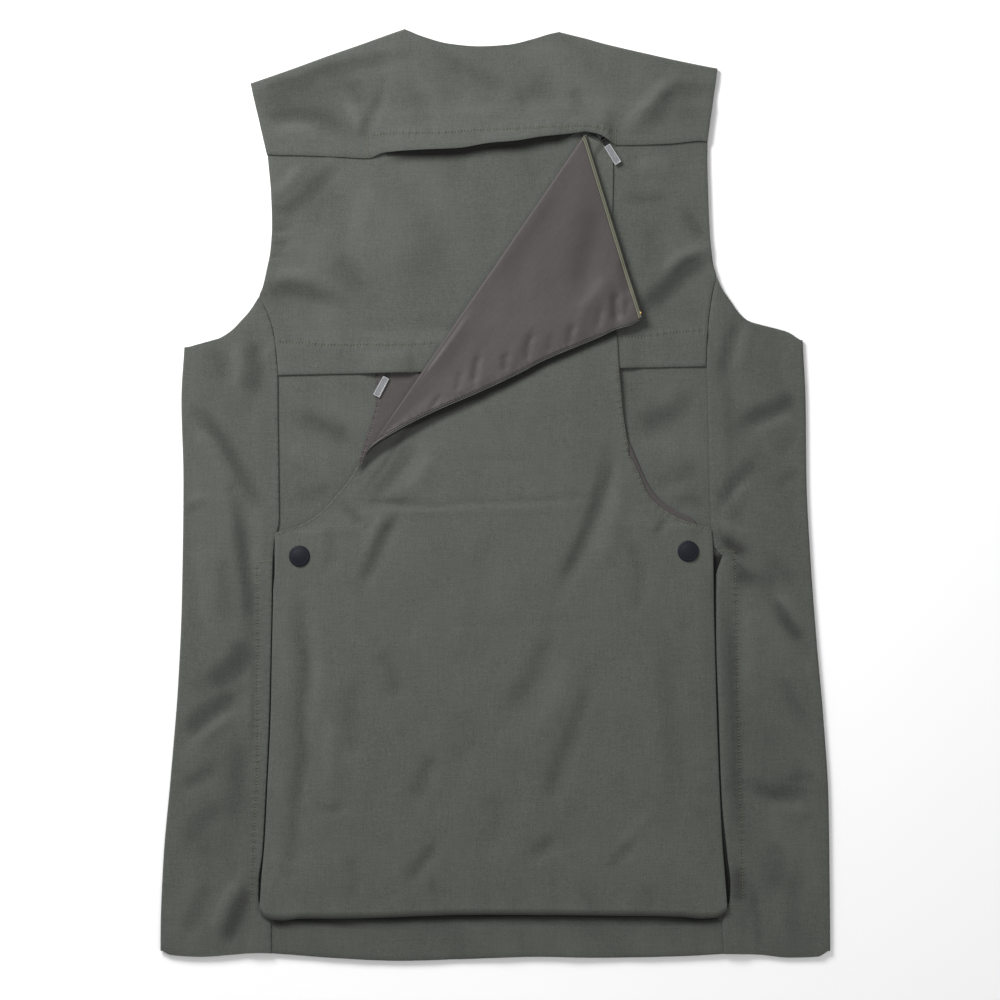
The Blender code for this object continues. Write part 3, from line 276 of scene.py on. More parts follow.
BACK_CREASES = [Crease(*c) for c in (
    # yoke, along the left shoulder and down from it
    (((-198, 334), (-182, 343), (-163, 344.5), (-148, 353.5), (-121, 360),
      (-98, 364), (-74, 369.5)), 5.5, -1.5),
    (((-199, 322), (-184, 331), (-166, 333)), 9, -0.8),
    (((-196, 309), (-178, 318), (-155, 317), (-136, 310), (-121, 297)),
     6, -1.1),
    (((-187, 303), (-166, 305), (-143, 298)), 7, 0.7),
    (((-111.2, 287), (-109.8, 301), (-106.2, 315), (-98, 331), (-93.5, 347)),
     3.4, -1.3),
    (((-122, 347), (-113.5, 336), (-110, 326)), 6, -0.9),
    (((-128, 331), (-118, 319), (-114.5, 304)), 4, 0.6),
    # yoke, from the neck
    (((-44, 370), (-25, 356), (-2, 345.5), (14, 341)), 6, -0.9),
    (((-70, 340), (-61, 322), (-57, 308)), 9, -0.6),
    (((-30, 338), (-12, 325), (-3, 310)), 9, 0.5),
    (((44, 352), (32, 336), (14, 326)), 8, -0.6),
    (((62, 342), (71, 326), (68, 312)), 6, -0.7),
    # yoke, from the right bartack up
    (((105, 301), (127, 326), (151, 351)), 5.5, 1.1),
    (((128, 303), (141, 324), (156, 340), (181, 338)), 5, -1.4),
    (((160, 326), (167, 312), (168, 301)), 8, -0.6),
    # upper back, from the left armhole
    (((-184, 229), (-167, 243), (-147, 262), (-130, 277)), 5, -1.3),
    (((-186, 252), (-172, 264), (-163, 277)), 4.5, 0.8),
    (((-187, 240), (-181, 238.5), (-175, 239)), 2, -1),
    (((-187.5, 222), (-180, 223), (-171, 227)), 2.2, -1.2),
    (((-188, 211), (-181, 210), (-173, 211.5)), 2, -1.3),
    (((-188.5, 201), (-183, 203), (-177, 202)), 1.8, -1),
    (((-196, 168), (-173, 172), (-150, 167), (-127, 159)), 5.5, -1.4),
    (((-189, 184), (-168, 183), (-146, 179)), 6, 0.8),
    (((-137, 200), (-121, 184), (-107, 163)), 8, -0.8),
    (((-104, 262), (-112, 226), (-103, 190)), 9, 0.5),
    (((-66, 238), (-52, 205), (-60, 172)), 10, -0.5),
    (((-183, 131), (-172, 130), (-158, 128.5)), 2.4, -0.9),
    (((-128, 130.5), (-112, 129), (-98, 127.5)), 2.4, -0.9),
    # upper back, from the right armhole
    (((184, 197), (165, 191.5), (148, 175), (132, 162), (121, 151)),
     6, -1.9),
    (((181, 207), (160, 201), (140, 184)), 4.5, 0.9),
    (((178, 214), (169, 223), (160, 238)), 4.5, -1.1),
    (((108, 248.5), (126, 247), (146, 249)), 4.5, -0.8),
    (((116, 272), (132, 278), (152, 272)), 6, 0.5),
    (((124, 226), (134, 206), (128, 186)), 8, -0.5),
    # left side panel, from the fold to the seam
    (((-262.4, 68.5), (-248, 66.5), (-236, 55), (-223, 34), (-211.5, 13),
      (-200, -6), (-190.5, -19)), 4.2, -1.8),
    (((-256, 55), (-240, 42), (-228, 24), (-219, 2)), 5.5, 0.8),
    (((-263, -14), (-256, -12), (-249, -13)), 3, -1.3),
    (((-262, -6), (-252, -4), (-244, -8)), 4, 0.7),
    (((-222, 4), (-214.5, -23), (-211.5, -54), (-206.5, -84), (-204.8, -114),
      (-207, -128)), 4, -1.9),
    (((-248, -38), (-240, -78), (-243, -118)), 8, 0.6),
    (((-230, -48), (-226, -88), (-228, -116)), 6, -0.6),
    (((-205.5, -120), (-214, -139), (-227, -152), (-246, -162)), 8, -2),
    (((-213, -166), (-234, -178), (-250, -190), (-262.5, -208)), 6, -1.7),
    (((-218, -186), (-238, -198), (-253, -214)), 5, 0.8),
    (((-234, -228), (-250, -240), (-264, -247)), 5, -1.2),
    (((-226, -262), (-246, -276), (-262, -298)), 7, -0.9),
    (((-203.6, -120), (-203, -170), (-204.4, -222)), 2.4, -0.9),
    (((-212, -204), (-216, -246), (-213, -282)), 8, -0.7),
    (((-203, -326), (-211, -341), (-219, -356), (-229, -381)), 4.4, -1.9),
    (((-214, -322), (-226, -343), (-238, -372)), 5, 0.8),
    (((-240, -324), (-250, -350), (-262, -372)), 6, -0.8),
    # under the left arm
    (((-203, 132), (-202, 110), (-204, 82)), 6, -1.1),
    (((-236, 122), (-231, 106), (-233, 92)), 7, -0.7),
    (((-219, 128), (-216, 106), (-219, 84)), 5, 0.6),
    # right side panel, from the fold to the seam
    (((260, 79), (248, 78.5), (235, 71), (221, 67), (209, 57),
      (203, 52)), 5, -1.9),
    (((252, 66), (235, 57), (219, 50)), 5, 0.7),
    (((205, 150), (198, 132), (193.5, 114), (185, 92)), 3.6, -1.2),
    (((214, 144), (208, 124), (205, 104)), 5, 0.6),
    (((222, 32), (209.5, 19), (194, 0), (184.5, -15)), 4.2, -1.5),
    (((214, 10), (202, -4), (190, -19)), 4, 1),
    (((260, 17.5), (248, 15.5), (238, 4)), 2.8, -1),
    (((236, 30), (246, 42), (259, 50)), 6, -0.5),
    # over the right pocket's bartack
    (((185.5, -33), (194, -40), (203, -46), (213, -49.5)), 2.8, -2.2),
    (((188, -24), (199, -29), (214, -38)), 4, 0.9),
    (((199, -58), (206, -69), (222, -72.5)), 4.4, -1.3),
    (((226, -52), (240, -62), (252, -80)), 6, -0.8),
    (((232, -88), (241, -99), (250, -114), (260.5, -126)), 4.4, -1.6),
    (((238, -84), (250, -98), (261, -112)), 4, 0.7),
    (((194.5, -74), (198, -128), (200, -204), (203, -300)), 5, -1.1),
    (((214, -92), (218, -128), (213, -166)), 7, 0.6),
    (((263, -142), (268, -156), (271, -168)), 2.6, 0.7),
    (((240, -150), (251, -176), (264, -196)), 6, -0.7),
    (((212, -243), (236, -252), (260, -250)), 5, -1.2),
    (((244, -243), (258, -238), (271, -239)), 3.4, -1.1),
    (((228, -262), (248, -266), (266, -262)), 6, 0.6),
    (((232, -290), (238, -314), (230, -338)), 7, -0.6),
    # hem pleat
    (((203, -308), (204, -326), (202, -346)), 4, -1.7),
    (((217, -330), (220, -352), (222, -385)), 2.6, -1.2),
    (((255.9, -312), (250.8, -342), (254.2, -379.3)), 6, -0.6),
    # left corner of the lower back
    (((-168, 66), (-142, 56), (-120, 42)), 7, -0.8),
    (((-176, 38), (-154, 30), (-138, 22)), 7, 0.6),
    (((-172, -5), (-152, -1), (-134, 6)), 6, -0.8),
    # right corner of the lower back
    (((114, 55), (130, 62), (148, 66), (165, 89.5)), 7, -0.9),
    (((122, 34), (138, 38), (158, 34)), 7, 0.6),
    (((130, 8), (150, 12), (171, 26)), 5, -0.7),
    (((150, -12), (162, -4), (178, -10)), 5, -0.8),
)]

# Broad soft painted shade along the deeper creases of the back
BACK_PAINTED_SHADES = [Crease(*c) for c in (
    (((-200, 330), (-180, 335), (-160, 339), (-136, 347), (-112, 351)),
     11, 0.15),
    (((-196, 312), (-170, 320), (-140, 317), (-123, 305)), 8, 0.09),
    (((128, 306), (144, 326), (172, 336)), 8, 0.08),
    (((-184, 230), (-160, 250), (-136, 272)), 9, 0.06),
    (((-196, 168), (-170, 170), (-140, 163)), 8, 0.09),
    (((184, 196), (160, 187), (140, 170), (122, 152)), 9, 0.15),
    (((-258, 66), (-240, 56), (-224, 32), (-206, 4)), 7, 0.07),
    (((-218, -10), (-211, -58), (-206, -116)), 6, 0.11),
    (((-206, -120), (-220, -146), (-244, -162)), 10, 0.14),
    (((-212, -168), (-236, -182), (-260, -206)), 8, 0.12),
    (((-210, -190), (-218, -240), (-240, -286)), 13, 0.07),
    (((-204, -326), (-215, -350), (-228, -382)), 7, 0.18),
    (((-205, 132), (-201, 104), (-204, 78)), 8, 0.11),
    (((258, 80), (236, 72), (208, 58)), 8, 0.13),
    (((205, 150), (196, 122), (186, 94)), 6, 0.08),
    (((222, 30), (206, 14), (186, -14)), 6, 0.08),
    (((187, -36), (200, -44), (214, -50)), 6, 0.20),
    (((200, -60), (216, -72), (242, -70)), 9, 0.12),
    (((238, -96), (249, -112), (261, -126)), 6, 0.12),
    (((194, -74), (198, -180), (203, -300)), 7, 0.10),
    (((212, -244), (240, -252), (268, -244)), 8, 0.09),
    (((203, -310), (204, -328), (203, -346)), 7, 0.20),
    (((-168, 66), (-142, 56), (-116, 44)), 8, 0.07),
    (((118, 57), (140, 64), (160, 78)), 8, 0.08),
)]

BAG_CREASES = [Crease(*c) for c in (
    # level crease, and a fainter one below it
    (((-138.9, -13.9), (-108.7, -11.8), (-81, -9.2), (-52.4, -10.1),
      (-24.7, -7.1), (37.5, -5.5), (79.5, -2.1), (111.4, -2.1)), 1.8, -0.42),
    (((-122.1, -17.4), (-80.1, -14.9), (-29.7, -13.2), (37.5, -11.5), (87.9, -8.1)), 4, 0.30),
    (((-112, -7.5), (-96, -6.5), (-80, -7), (-66, -8)), 2.8, -1.1),
    (((-59.9, -108.2), (22, -107), (108.1, -104.4)), 1.8, -0.22),
    (((-30, 31), (6, 29.5), (40, 31)), 2.4, -0.25),
    # from the fold's foot down
    (((-65, 45.8), (-76.8, 27.3), (-93.6, 4.6), (-110, -5)), 6, -1.3),
    (((-53.3, 35.7), (-63.3, 15.5), (-76.8, 0)), 7, 0.8),
    (((-134, -3), (-121.5, -15.5), (-109, -28)), 3.4, -1.5),
    (((-79, -15), (-91, -34.5), (-102, -57.5), (-112.5, -83)), 5, -1.6),
    (((-92, -14), (-103, -34), (-111, -54)), 4.5, 0.8),
    (((-139, -24), (-137, -46), (-140, -68)), 5, -0.9),
    # long diagonal on the right
    (((101.5, 50), (93, 15.5), (81.5, -22.5), (66, -57), (50, -89)), 5.5, -2),
    (((113, 38), (106, 4), (95, -34), (80, -68)), 8, 0.9),
    (((46, -112), (38, -140), (24, -168), (6, -190)), 9, -1.3),
    (((82, -152), (68, -192), (53, -234), (40, -270)), 7, -1.2),
    (((64, -132), (50, -172), (30, -208)), 9, 0.7),
    (((110, -34), (122, -66), (118, -108)), 6, -0.9),
    (((52, -286), (40, -298), (26, -304)), 6, -1.1),
    (((116, -291), (106, -304), (94, -316)), 4, -0.8),
    (((130, -262), (118, -282), (100, -296)), 4, 0.5),
    # left middle
    (((-100, -128), (-86, -150), (-80, -176)), 8, -1),
    (((-112, -150), (-120, -186), (-118, -228)), 8, -0.8),
    (((-138.5, -186), (-140, -220), (-137, -254)), 6, 0.8),
    (((-52, -214), (-58, -236), (-69, -262)), 7, -1.1),
    (((-48, -292), (-60, -308), (-73, -326)), 5, -1.4),
    (((-30, -176), (-22, -204), (-34, -236)), 9, -0.6),
    (((-12, -250), (2, -274), (-8, -300)), 8, -0.7),
    (((-126, -258), (-138, -266), (-150, -262)), 4, -0.7),
    # beside the left pocket
    (((-164, -68), (-164.5, -115), (-160, -145), (-165.5, -187),
      (-162, -214), (-170, -268), (-169.5, -302), (-182, -325)), 6, -1.9),
    (((-150, -86), (-148, -150), (-152, -214)), 6, 0.6),
    (((-181, -298), (-172, -305), (-166, -303)), 2.4, -0.9),
    (((-182, -312), (-174, -318), (-168, -316)), 2.4, -0.8),
    # beside the right pocket
    (((145, -14.7), (140, -24.8), (135.5, -36)), 2.8, -1.3),
    (((166, -29.8), (174, -37), (182.5, -42)), 3.2, -1.3),
    (((186, -236), (177, -231), (167, -232)), 2.4, -0.9),
    (((187, -257), (178, -251), (168, -249)), 2.6, -0.9),
    (((188.5, -290), (181, -284), (174, -283)), 2.2, -0.9),
    (((168, -262), (176, -274), (180, -292)), 3.4, -0.8),
    (((138.3, -98.6), (145, -155.8), (150.7, -219.8), (146.7, -285.4)), 9, -0.8),
    # by the rolled lower edge
    (((-122.1, -298.6), (-117.1, -323.8), (-122.1, -344.8)), 5, -0.7),
    (((-54, -322), (-50, -334), (-52, -348)), 4, -0.8),
    (((72, -332), (78, -341), (86, -347)), 4, -1.1),
    (((126, -328), (130, -338), (128, -348)), 3.4, -0.8),
)]

FLAP_CREASES = [Crease(*c) for c in (
    # puckers by the free edge
    (((100.8, 172.1), (100.5, 158.6), (101.4, 142.5)), 3, -1.3),
    (((88.9, 158.4), (86.8, 148.3), (85.3, 137.1)), 2.6, -0.5),
    (((111.4, 164.7), (109.7, 155), (108, 146.9)), 2.8, -0.5),
    (((66, 143.9), (62.7, 132.5), (61.3, 122.4)), 2.4, -0.6),
    (((75, 156), (70, 143), (67, 128)), 3.4, 0.2),
    (((46.9, 134.5), (45.5, 125.4), (45.2, 117.3)), 2.2, -0.35),
    (((31.1, 137.1), (27.1, 121), (26.7, 108.9)), 2.6, -0.6),
    (((8.6, 119.7), (8, 110.3), (9.2, 101.5)), 2.3, -0.7),
    (((22, 131), (16, 118), (14, 104)), 3.4, 0.15),
    (((-14.2, 118.7), (-16.5, 104.3), (-18.2, 90.5)), 2.5, -0.7),
    (((-29.3, 104.9), (-30.4, 94.8), (-32.7, 84.4)), 2.2, -0.4),
    (((-46.5, 84.1), (-49.6, 77.7), (-53.9, 71)), 2.2, -0.4),
    # light triangle by the lifted corner
    (((68, 150), (82, 164), (97, 184)), 6, 0.5),
    # soft, along the flap
    (((54.3, 255.8), (29.1, 205.4), (3.9, 163.4)), 12, -0.5),
    (((87.9, 247.4), (79.5, 205.4), (67.7, 163.4)), 10, -0.7),
    (((108, 200), (110, 180), (112, 164)), 5, -0.7),
    (((-21.3, 163.4), (-38.1, 129.8), (-63.3, 96.2)), 8, 0.5),
)]

FRONT_CREASES = [Crease(*c) for c in (
    # left front, from the armhole and the side to the lap
    (((-176, 196), (-146, 172), (-118, 158), (-84, 154)), 7, 1.1),
    (((-178, 262), (-150, 276), (-122, 300)), 6, 1),
    (((-212, 96), (-184, 70), (-160, 30), (-150, -14)), 8, 1.2),
    (((-96, 92), (-108, 44), (-102, -8)), 9, 0.8),
    (((-216, -62), (-190, -96), (-168, -142)), 7, 1.2),
    (((-66, -38), (-80, -92), (-72, -150), (-84, -204)), 9, 0.9),
    (((-220, -214), (-186, -232), (-152, -268)), 7, 1),
    (((-132, -188), (-124, -244), (-134, -300)), 8, 0.8),
    (((-190, -310), (-182, -346), (-188, -382)), 6, 1.1),
    (((-58, -286), (-66, -334), (-60, -378)), 7, 0.9),
    # right front
    (((168, 208), (140, 180), (112, 160), (74, 150)), 7, 1.1),
    (((166, 272), (138, 284), (112, 304)), 6, 0.9),
    (((212, 88), (190, 54), (172, 12)), 8, 1.2),
    (((82, 104), (98, 58), (92, 2)), 9, 0.8),
    (((214, -34), (182, -60), (150, -72), (112, -70)), 7, 1.1),
    (((58, -62), (74, -118), (66, -176)), 9, 0.9),
    (((218, -156), (194, -196), (180, -246)), 7, 1.1),
    (((140, -148), (126, -206), (138, -262)), 8, 0.8),
    (((208, -292), (198, -334), (202, -382)), 6, 1.1),
    (((88, -262), (78, -318), (86, -376)), 8, 0.9),
)]

# Sewing lines, by the piece that each lies on

STITCH_LINES = [
    ("back_yoke", [(-105.3, 301.1), (-86, 302.8), (-54.9, 302.8), (-21.3, 304.9),
        (8.9, 306.2), (29.1, 307), (50.1, 308.1), (75.3, 308.7), (87.9, 307),
        (99.6, 303.7)]),
    ("back_upper", [(-184.6, 128.5), (-156.6, 126.7), (-135.6, 125.2), (-108.7, 125.6),
        (-77, 125.2), (-49.9, 127.3)]),
    ("back_upper", [(102.6, 131.5), (127.8, 132.9), (150.4, 135.7), (175.2, 137.8)]),
    ("side_left", [(-200.3, -58.4), (-199.4, -92), (-199.8, -164.2), (-200.3, -233.1),
        (-202.8, -290.2), (-204.9, -339.8)]),
    ("side_right", [(201.3, -50.8), (202.9, -122.2), (203.4, -162.5), (205.5, -233.9),
        (207.1, -290.2), (208, -340.6)]),
]
BARTACK_LINES = [
    ("back_yoke", [(-107.4, 300.3), (-107.4, 283.5)]),
    ("back_yoke", [(100.9, 305.8), (100.9, 294)]),
    ("side_left", [(-200.7, -57.1), (-187.7, -55.4)]),
    ("side_left", [(-204.9, -341.5), (-198.6, -341.5)]),
    ("side_right", [(189.5, -47), (201.3, -48.3)]),
    ("side_right", [(196.2, -344.3), (208.4, -344.3)]),
]


# Curves through the tables

def smooth(value, start, width):
    """Ease from 0 to 1 as value goes from start to start + width."""
    share = np.clip((value - start) / width, 0.0, 1.0)
    return share * share * (3.0 - 2.0 * share)


def ease_through(knots, values, at):
    """Smooth curve through values at rising knots, without overshoot, held at both ends."""
    knots, values = np.asarray(knots, float), np.asarray(values, float)
    widths = np.diff(knots)
    rises = np.diff(values) / widths
    slopes = np.zeros(len(knots))
    before, after = rises[:-1], rises[1:]
    near, far = widths[:-1] + 2.0 * widths[1:], 2.0 * widths[:-1] + widths[1:]
    turning = before * after <= 0.0
    safe_before, safe_after = np.where(turning, 1.0, before), np.where(turning, 1.0, after)
    mean = (near + far) / (near / safe_before + far / safe_after)
    slopes[1:-1] = np.where(turning, 0.0, mean)
    slopes[0], slopes[-1] = rises[0], rises[-1]
    at = np.clip(at, knots[0], knots[-1])
    cell = np.clip(np.searchsorted(knots, at, side="right") - 1, 0, len(widths) - 1)
    width = widths[cell]
    t = (at - knots[cell]) / width
    return (values[cell] * (1.0 + 2.0 * t) * (1.0 - t) ** 2
            + slopes[cell] * width * t * (1.0 - t) ** 2
            + values[cell + 1] * t * t * (3.0 - 2.0 * t)
            + slopes[cell + 1] * width * t * t * (t - 1.0))


def height_at(table, y):
    return ease_through([-row.y for row in table], [row.z for row in table], -y)


def x_at(points, y):
    """X on a line of points that runs from the neck down."""
    return ease_through([-point[1] for point in points], [point[0] for point in points], -y)


def y_at(points, x):
    """Y on a line of points that runs across the vest, either way."""
    ordered = sorted((point[0], point[1]) for point in points)
    return ease_through([p[0] for p in ordered], [p[1] for p in ordered], x)


def refine(rows, step=STEP):
    """Rows of numbers with more rows between them; the first two columns set the spacing."""
    rows = np.array(rows, float)
    gaps = np.hypot(*np.diff(rows[:, :2], axis=0).T)
    reach = np.concatenate(([0.0], np.cumsum(gaps)))
    at = np.linspace(0.0, reach[-1], max(2, int(round(reach[-1] / step)) + 1))
    return np.column_stack([ease_through(reach, column, at) for column in rows.T])


def along(points, share):
    """Points at shares of the length of a line of points, smooth between them."""
    line = np.array(points, float)
    reach = np.concatenate(([0.0], np.cumsum(np.hypot(*np.diff(line, axis=0).T))))
    where = np.asarray(share) * reach[-1]
    return np.stack([ease_through(reach, line[:, 0], where),
                     ease_through(reach, line[:, 1], where)], axis=-1)


def mix(start, end, share):
    """Points between two points or grids of points, at shares of the way."""
    return np.asarray(start) + (np.asarray(end) - np.asarray(start)) * share


def even(length, step=STEP, turned=EDGE_TURN):
    """Even shares across a length, with one more just inside each end."""
    inner = np.linspace(0.0, 1.0, max(3, int(round(length / step)) + 1))
    near = turned / length
    return np.concatenate(([0.0, near], inner[1:-1], [1.0 - near, 1.0]))


# Relief: soft folds laid one by one, as lifts of the cloth's resting height

FOLD_LINE = np.array(CORNER_C, float) - np.array(CORNER_A, float)
FOLD_ALONG = FOLD_LINE / np.hypot(*FOLD_LINE)
FOLD_ACROSS = np.array((-FOLD_ALONG[1], FOLD_ALONG[0]))   # towards the vest's right
WELT_LINE = [(column.low_x, column.low_y) for column in YOKE_COLUMNS]
BAG_LEFT_LINE = [(row.left_x, row.left_y) for row in BAG_ROWS] + [BAG_BOTTOM[0]]
BAG_RIGHT_LINE = list(BAG_RIGHT_UPPER) + [(row.right_x, row.right_y) for row in BAG_ROWS]


def folds(points, creases):
    """Sum of the creases' troughs and ridges at plan points."""
    total = np.zeros(points.shape[:-1])
    for crease in creases:
        line = refine(crease.points, 6.0)
        lengths = np.hypot(*np.diff(line, axis=0).T)
        reach = np.concatenate(([0.0], np.cumsum(lengths)))
        best = np.full(total.shape, 1e9)
        where = np.zeros(total.shape)
        for start, end, length, passed in zip(line[:-1], line[1:], lengths, reach):
            run = (end - start) / length
            offset = points - start
            across = np.clip(offset @ run, 0.0, length)
            distance = np.hypot(offset[..., 0] - across * run[0],
                                offset[..., 1] - across * run[1])
            nearer = distance < best
            best = np.where(nearer, distance, best)
            where = np.where(nearer, passed + across, where)
        share = where / reach[-1]
        taper = smooth(share, 0.0, 0.26) * (1.0 - smooth(share, 0.74, 0.26))
        taper = np.maximum(taper, 0.2)
        depth = crease.height * CREASE_SCALE * min(1.0, BROAD / crease.width)
        total += depth * taper * np.exp(-(best / crease.width) ** 2)
    return total


def shallow(relief, depth):
    """Relief whose troughs level off above a depth."""
    return np.where(relief < 0.0, -depth * (1.0 - np.exp(np.minimum(relief, 0.0) / depth)), relief)


def undulation(points):
    """Faint waves in all cloth that has lain folded."""
    x, y = points[..., 0], points[..., 1]
    slant = 0.5 + 0.5 * np.sin((x - 1.4 * y) / 83.0 + 0.7)
    level = 0.5 + 0.5 * np.sin((x + 0.6 * y) / 71.0 + 2.1)
    return (0.24 * np.sin(x / 23.0 + 1.7 * np.sin(y / 61.0))
            + 0.18 * np.sin(y / 29.0 + 1.3 * np.sin(x / 47.0) + 0.8)
            + 0.30 * slant * np.sin((x + 0.6 * y) / 10.5 + 1.8 * np.sin(y / 52.0))
            + 0.24 * level * np.sin((0.45 * x - y) / 11.5 + 1.6 * np.sin(x / 44.0))
            + 0.10 * np.sin(x / 4.7 + 1.1 * np.sin(y / 25.0)))


def fold_distance(points):
    return (points - np.array(CORNER_A, float)) @ FOLD_ACROSS


def bag_inset(points):
    """Distance in from the bag front's nearest side edge or from its fold."""
    x, y = points[..., 0], points[..., 1]
    right = x_at(BAG_RIGHT_LINE, y) - x
    straight = x - x_at(BAG_LEFT_LINE, y)
    left = mix(fold_distance(points), straight, smooth(-y, -CORNER_C.y, 30.0))
    return np.minimum(left, right)


def back_relief(points):
    """Relief of the back panels; none where the bag or its folded corner lies on them."""
    x, y = points[..., 0], points[..., 1]
    inset = bag_inset(points)
    covered = smooth(inset, -14.0, 14.0) * smooth(y, -362.0, 6.0)
    covered = covered * (1.0 - smooth(y, 303.0, 4.0))
    relief = shallow(folds(points, BACK_CREASES) + undulation(points), BACK_DEPTH)
    return relief * (1.0 - covered)


# Painted shade along the back's deeper creases, for the cloth's colour
def painted_crease_shade(points):
    return np.clip(folds(points, BACK_PAINTED_SHADES), 0.0, 0.8)


def front_relief(points):
    """Creases of the fronts, which rise into the hollow under the back's troughs."""
    room = HOLLOW + np.minimum(back_relief(points), 0.0)
    clear = smooth(np.abs(points[..., 0] - LAP_CENTRE), LAP_HALF, 14.0)
    return np.clip(folds(points, FRONT_CREASES) * clear, 0.0, np.maximum(room, 0.0))


def bag_relief(points):
    inset = bag_inset(points)
    y = points[..., 1]
    body = smooth(inset, 0.0, 26.0)
    puff = 2.4 * smooth(inset, 2.0, 50.0) * smooth(y, -352.0, 50.0)
    upper = 1.0 - smooth(y, 60.0, 120.0)
    lift = puff * (0.3 + 0.7 * upper)
    ripple = 0.45 * np.sin(points[..., 0] / 5.3 + 1.5 * np.sin(points[..., 0] / 31.0))
    ripple = ripple * (1.0 - smooth(y, -354.0, 22.0)) * smooth(inset, 6.0, 20.0)
    crease = BAG_DEPTH * folds(points, BAG_CREASES) + undulation(points)
    level = body * crease * (0.35 + 0.65 * upper)
    return np.maximum(lift + level, -0.25) + ripple


def inset_line(points, distance):
    """Line moved sideways, to the left of its direction where distance is positive."""
    line = refine([tuple(p)[:2] for p in points], 3.0)
    run = np.gradient(line, axis=0)
    run /= np.hypot(*run.T)[:, None]
    return line + np.column_stack([-run[:, 1], run[:, 0]]) * distance


# Sewn lines by piece, with how deep each draws the cloth in

BAG_LEFT_STITCH = inset_line([p for p in BAG_LEFT_LINE if p[1] > -34.0], 1.6)
BAG_RIGHT_STITCH = inset_line([p for p in BAG_RIGHT_LINE if -30.0 < p[1] < 112.0], -1.6)
LINING_STITCH = inset_line([(s.left, s.y) for s in LINING_SPANS[:6]], 1.2)
FLAP_STITCH = inset_line(FLAP_EDGE[3:], -2.4)

SEWN = {"side_left": [(SEAM_LEFT, 0.5)], "side_right": [(SEAM_RIGHT, 0.5)],
        "back_upper": [], "back_yoke": [],
        "bag_front": [(BAG_LEFT_STITCH, 0.8), (BAG_RIGHT_STITCH, 0.8)],
        "bag_back_lining": [(LINING_STITCH, 0.8)], "flap_lining": [(FLAP_STITCH, 1.0)]}
for line_piece, line_points in STITCH_LINES:
    SEWN[line_piece].append((line_points, 1.0))


# Shells

pieces = {}


def linked(name, data):
    """Object for a mesh, lamp or lens, in the scene."""
    thing = bpy.data.objects.new(name, data)
    bpy.context.scene.collection.objects.link(thing)
    return thing


def line_frame(points, line):
    """Signed distance to a line that runs on past its ends, way along it, and 1 within it."""
    line = refine(line, 3.0)
    lengths = np.hypot(*np.diff(line, axis=0).T)
    reach = np.concatenate(([0.0], np.cumsum(lengths)))
    best = np.full(len(points), 1e9)
    passed = np.zeros(len(points))
    last = len(lengths) - 1
    for place, (start, length) in enumerate(zip(line, lengths)):
        run = (line[place + 1] - start) / length
        offset = points - start
        way = np.clip(offset @ run, -1e6 if place == 0 else 0.0, 1e6 if place == last else length)
        gap = offset - way[:, None] * run
        distance = np.hypot(*gap.T)
        sign = np.where(run[0] * gap[:, 1] - run[1] * gap[:, 0] < 0.0, -1.0, 1.0)
        nearer = distance < np.abs(best)
        best = np.where(nearer, distance * sign, best)
        passed = np.where(nearer, reach[place] + way, passed)
    within = smooth(passed, -1.0, 2.0) * (1.0 - smooth(passed, reach[-1] - 1.0, 2.0))
    return best, passed, within


def shell(name, under, over, finish, kept=None, hollow=None, shaded=None):
    """Closed cloth shell between two grids of points.

    It keeps three numbers for its finish: fold, its relief, which paints shade into troughs and
    light onto ridges;
    sewn, the distance from each sewn line on it and the way along it; and shade, painted shade
    where it lies in the dark, and on the flap's tape its woven lines.
    """
    rows, columns = under.shape[:2]
    if kept is None:
        kept = np.ones((rows - 1, columns - 1), bool)
    row, column = np.nonzero(kept)
    near = row * columns + column
    right, far, left = near + 1, near + columns + 1, near + columns
    layer = rows * columns
    tops = np.stack([near, right, far, left], axis=1)
    below = tops[:, ::-1] + layer
    edges = np.concatenate([tops[:, [0, 1]], tops[:, [1, 2]], tops[:, [2, 3]], tops[:, [3, 0]]])
    known = set(map(tuple, edges.tolist()))
    rims = [(a, b) for a, b in sorted(known) if (b, a) not in known]
    faces = tops.tolist() + below.tolist()
    faces += [[b, a, a + layer, b + layer] for a, b in rims]
    points = np.concatenate([over.reshape(-1, 3), under.reshape(-1, 3)]) * MM
    used = sorted({spot for face in faces for spot in face})
    number = {spot: place for place, spot in enumerate(used)}
    mesh = bpy.data.meshes.new(name)
    mesh.from_pydata(points[used].tolist(), [], [[number[s] for s in face] for face in faces])
    relief = np.zeros((rows, columns)) if hollow is None else hollow
    values = np.concatenate([relief.ravel(), relief.ravel()])[used]
    folded = mesh.attributes.new("fold", "FLOAT", "POINT")
    folded.data.foreach_set("value", values.astype(np.float32))
    flat = points[used] / MM
    for place, (line, weight) in enumerate(SEWN.get(name, [])):
        across, passed, within = line_frame(flat[:, :2], line)
        within = within * weight * (flat[:, 2] > BACK)
        sewn = mesh.attributes.new(f"sewn_{place}", "FLOAT_VECTOR", "POINT")
        sewn.data.foreach_set("vector", np.column_stack([across, passed, within])
                              .astype(np.float32).ravel())
    if shaded is not None:
        inside = np.concatenate([shaded.ravel(), shaded.ravel()])[used]
        shade = mesh.attributes.new("shade", "FLOAT", "POINT")
        shade.data.foreach_set("value", inside.astype(np.float32))
    form = bmesh.new()
    form.from_mesh(mesh)
    bmesh.ops.recalc_face_normals(form, faces=form.faces)
    if form.calc_volume(signed=True) < 0.0:
        bmesh.ops.reverse_faces(form, faces=form.faces)
    form.to_mesh(mesh)
    form.free()
    mesh.shade_smooth()
    mesh.set_sharp_from_angle(angle=math.radians(62))
    mesh.materials.append(finish)
    pieces[name] = linked(name, mesh)
    return pieces[name]


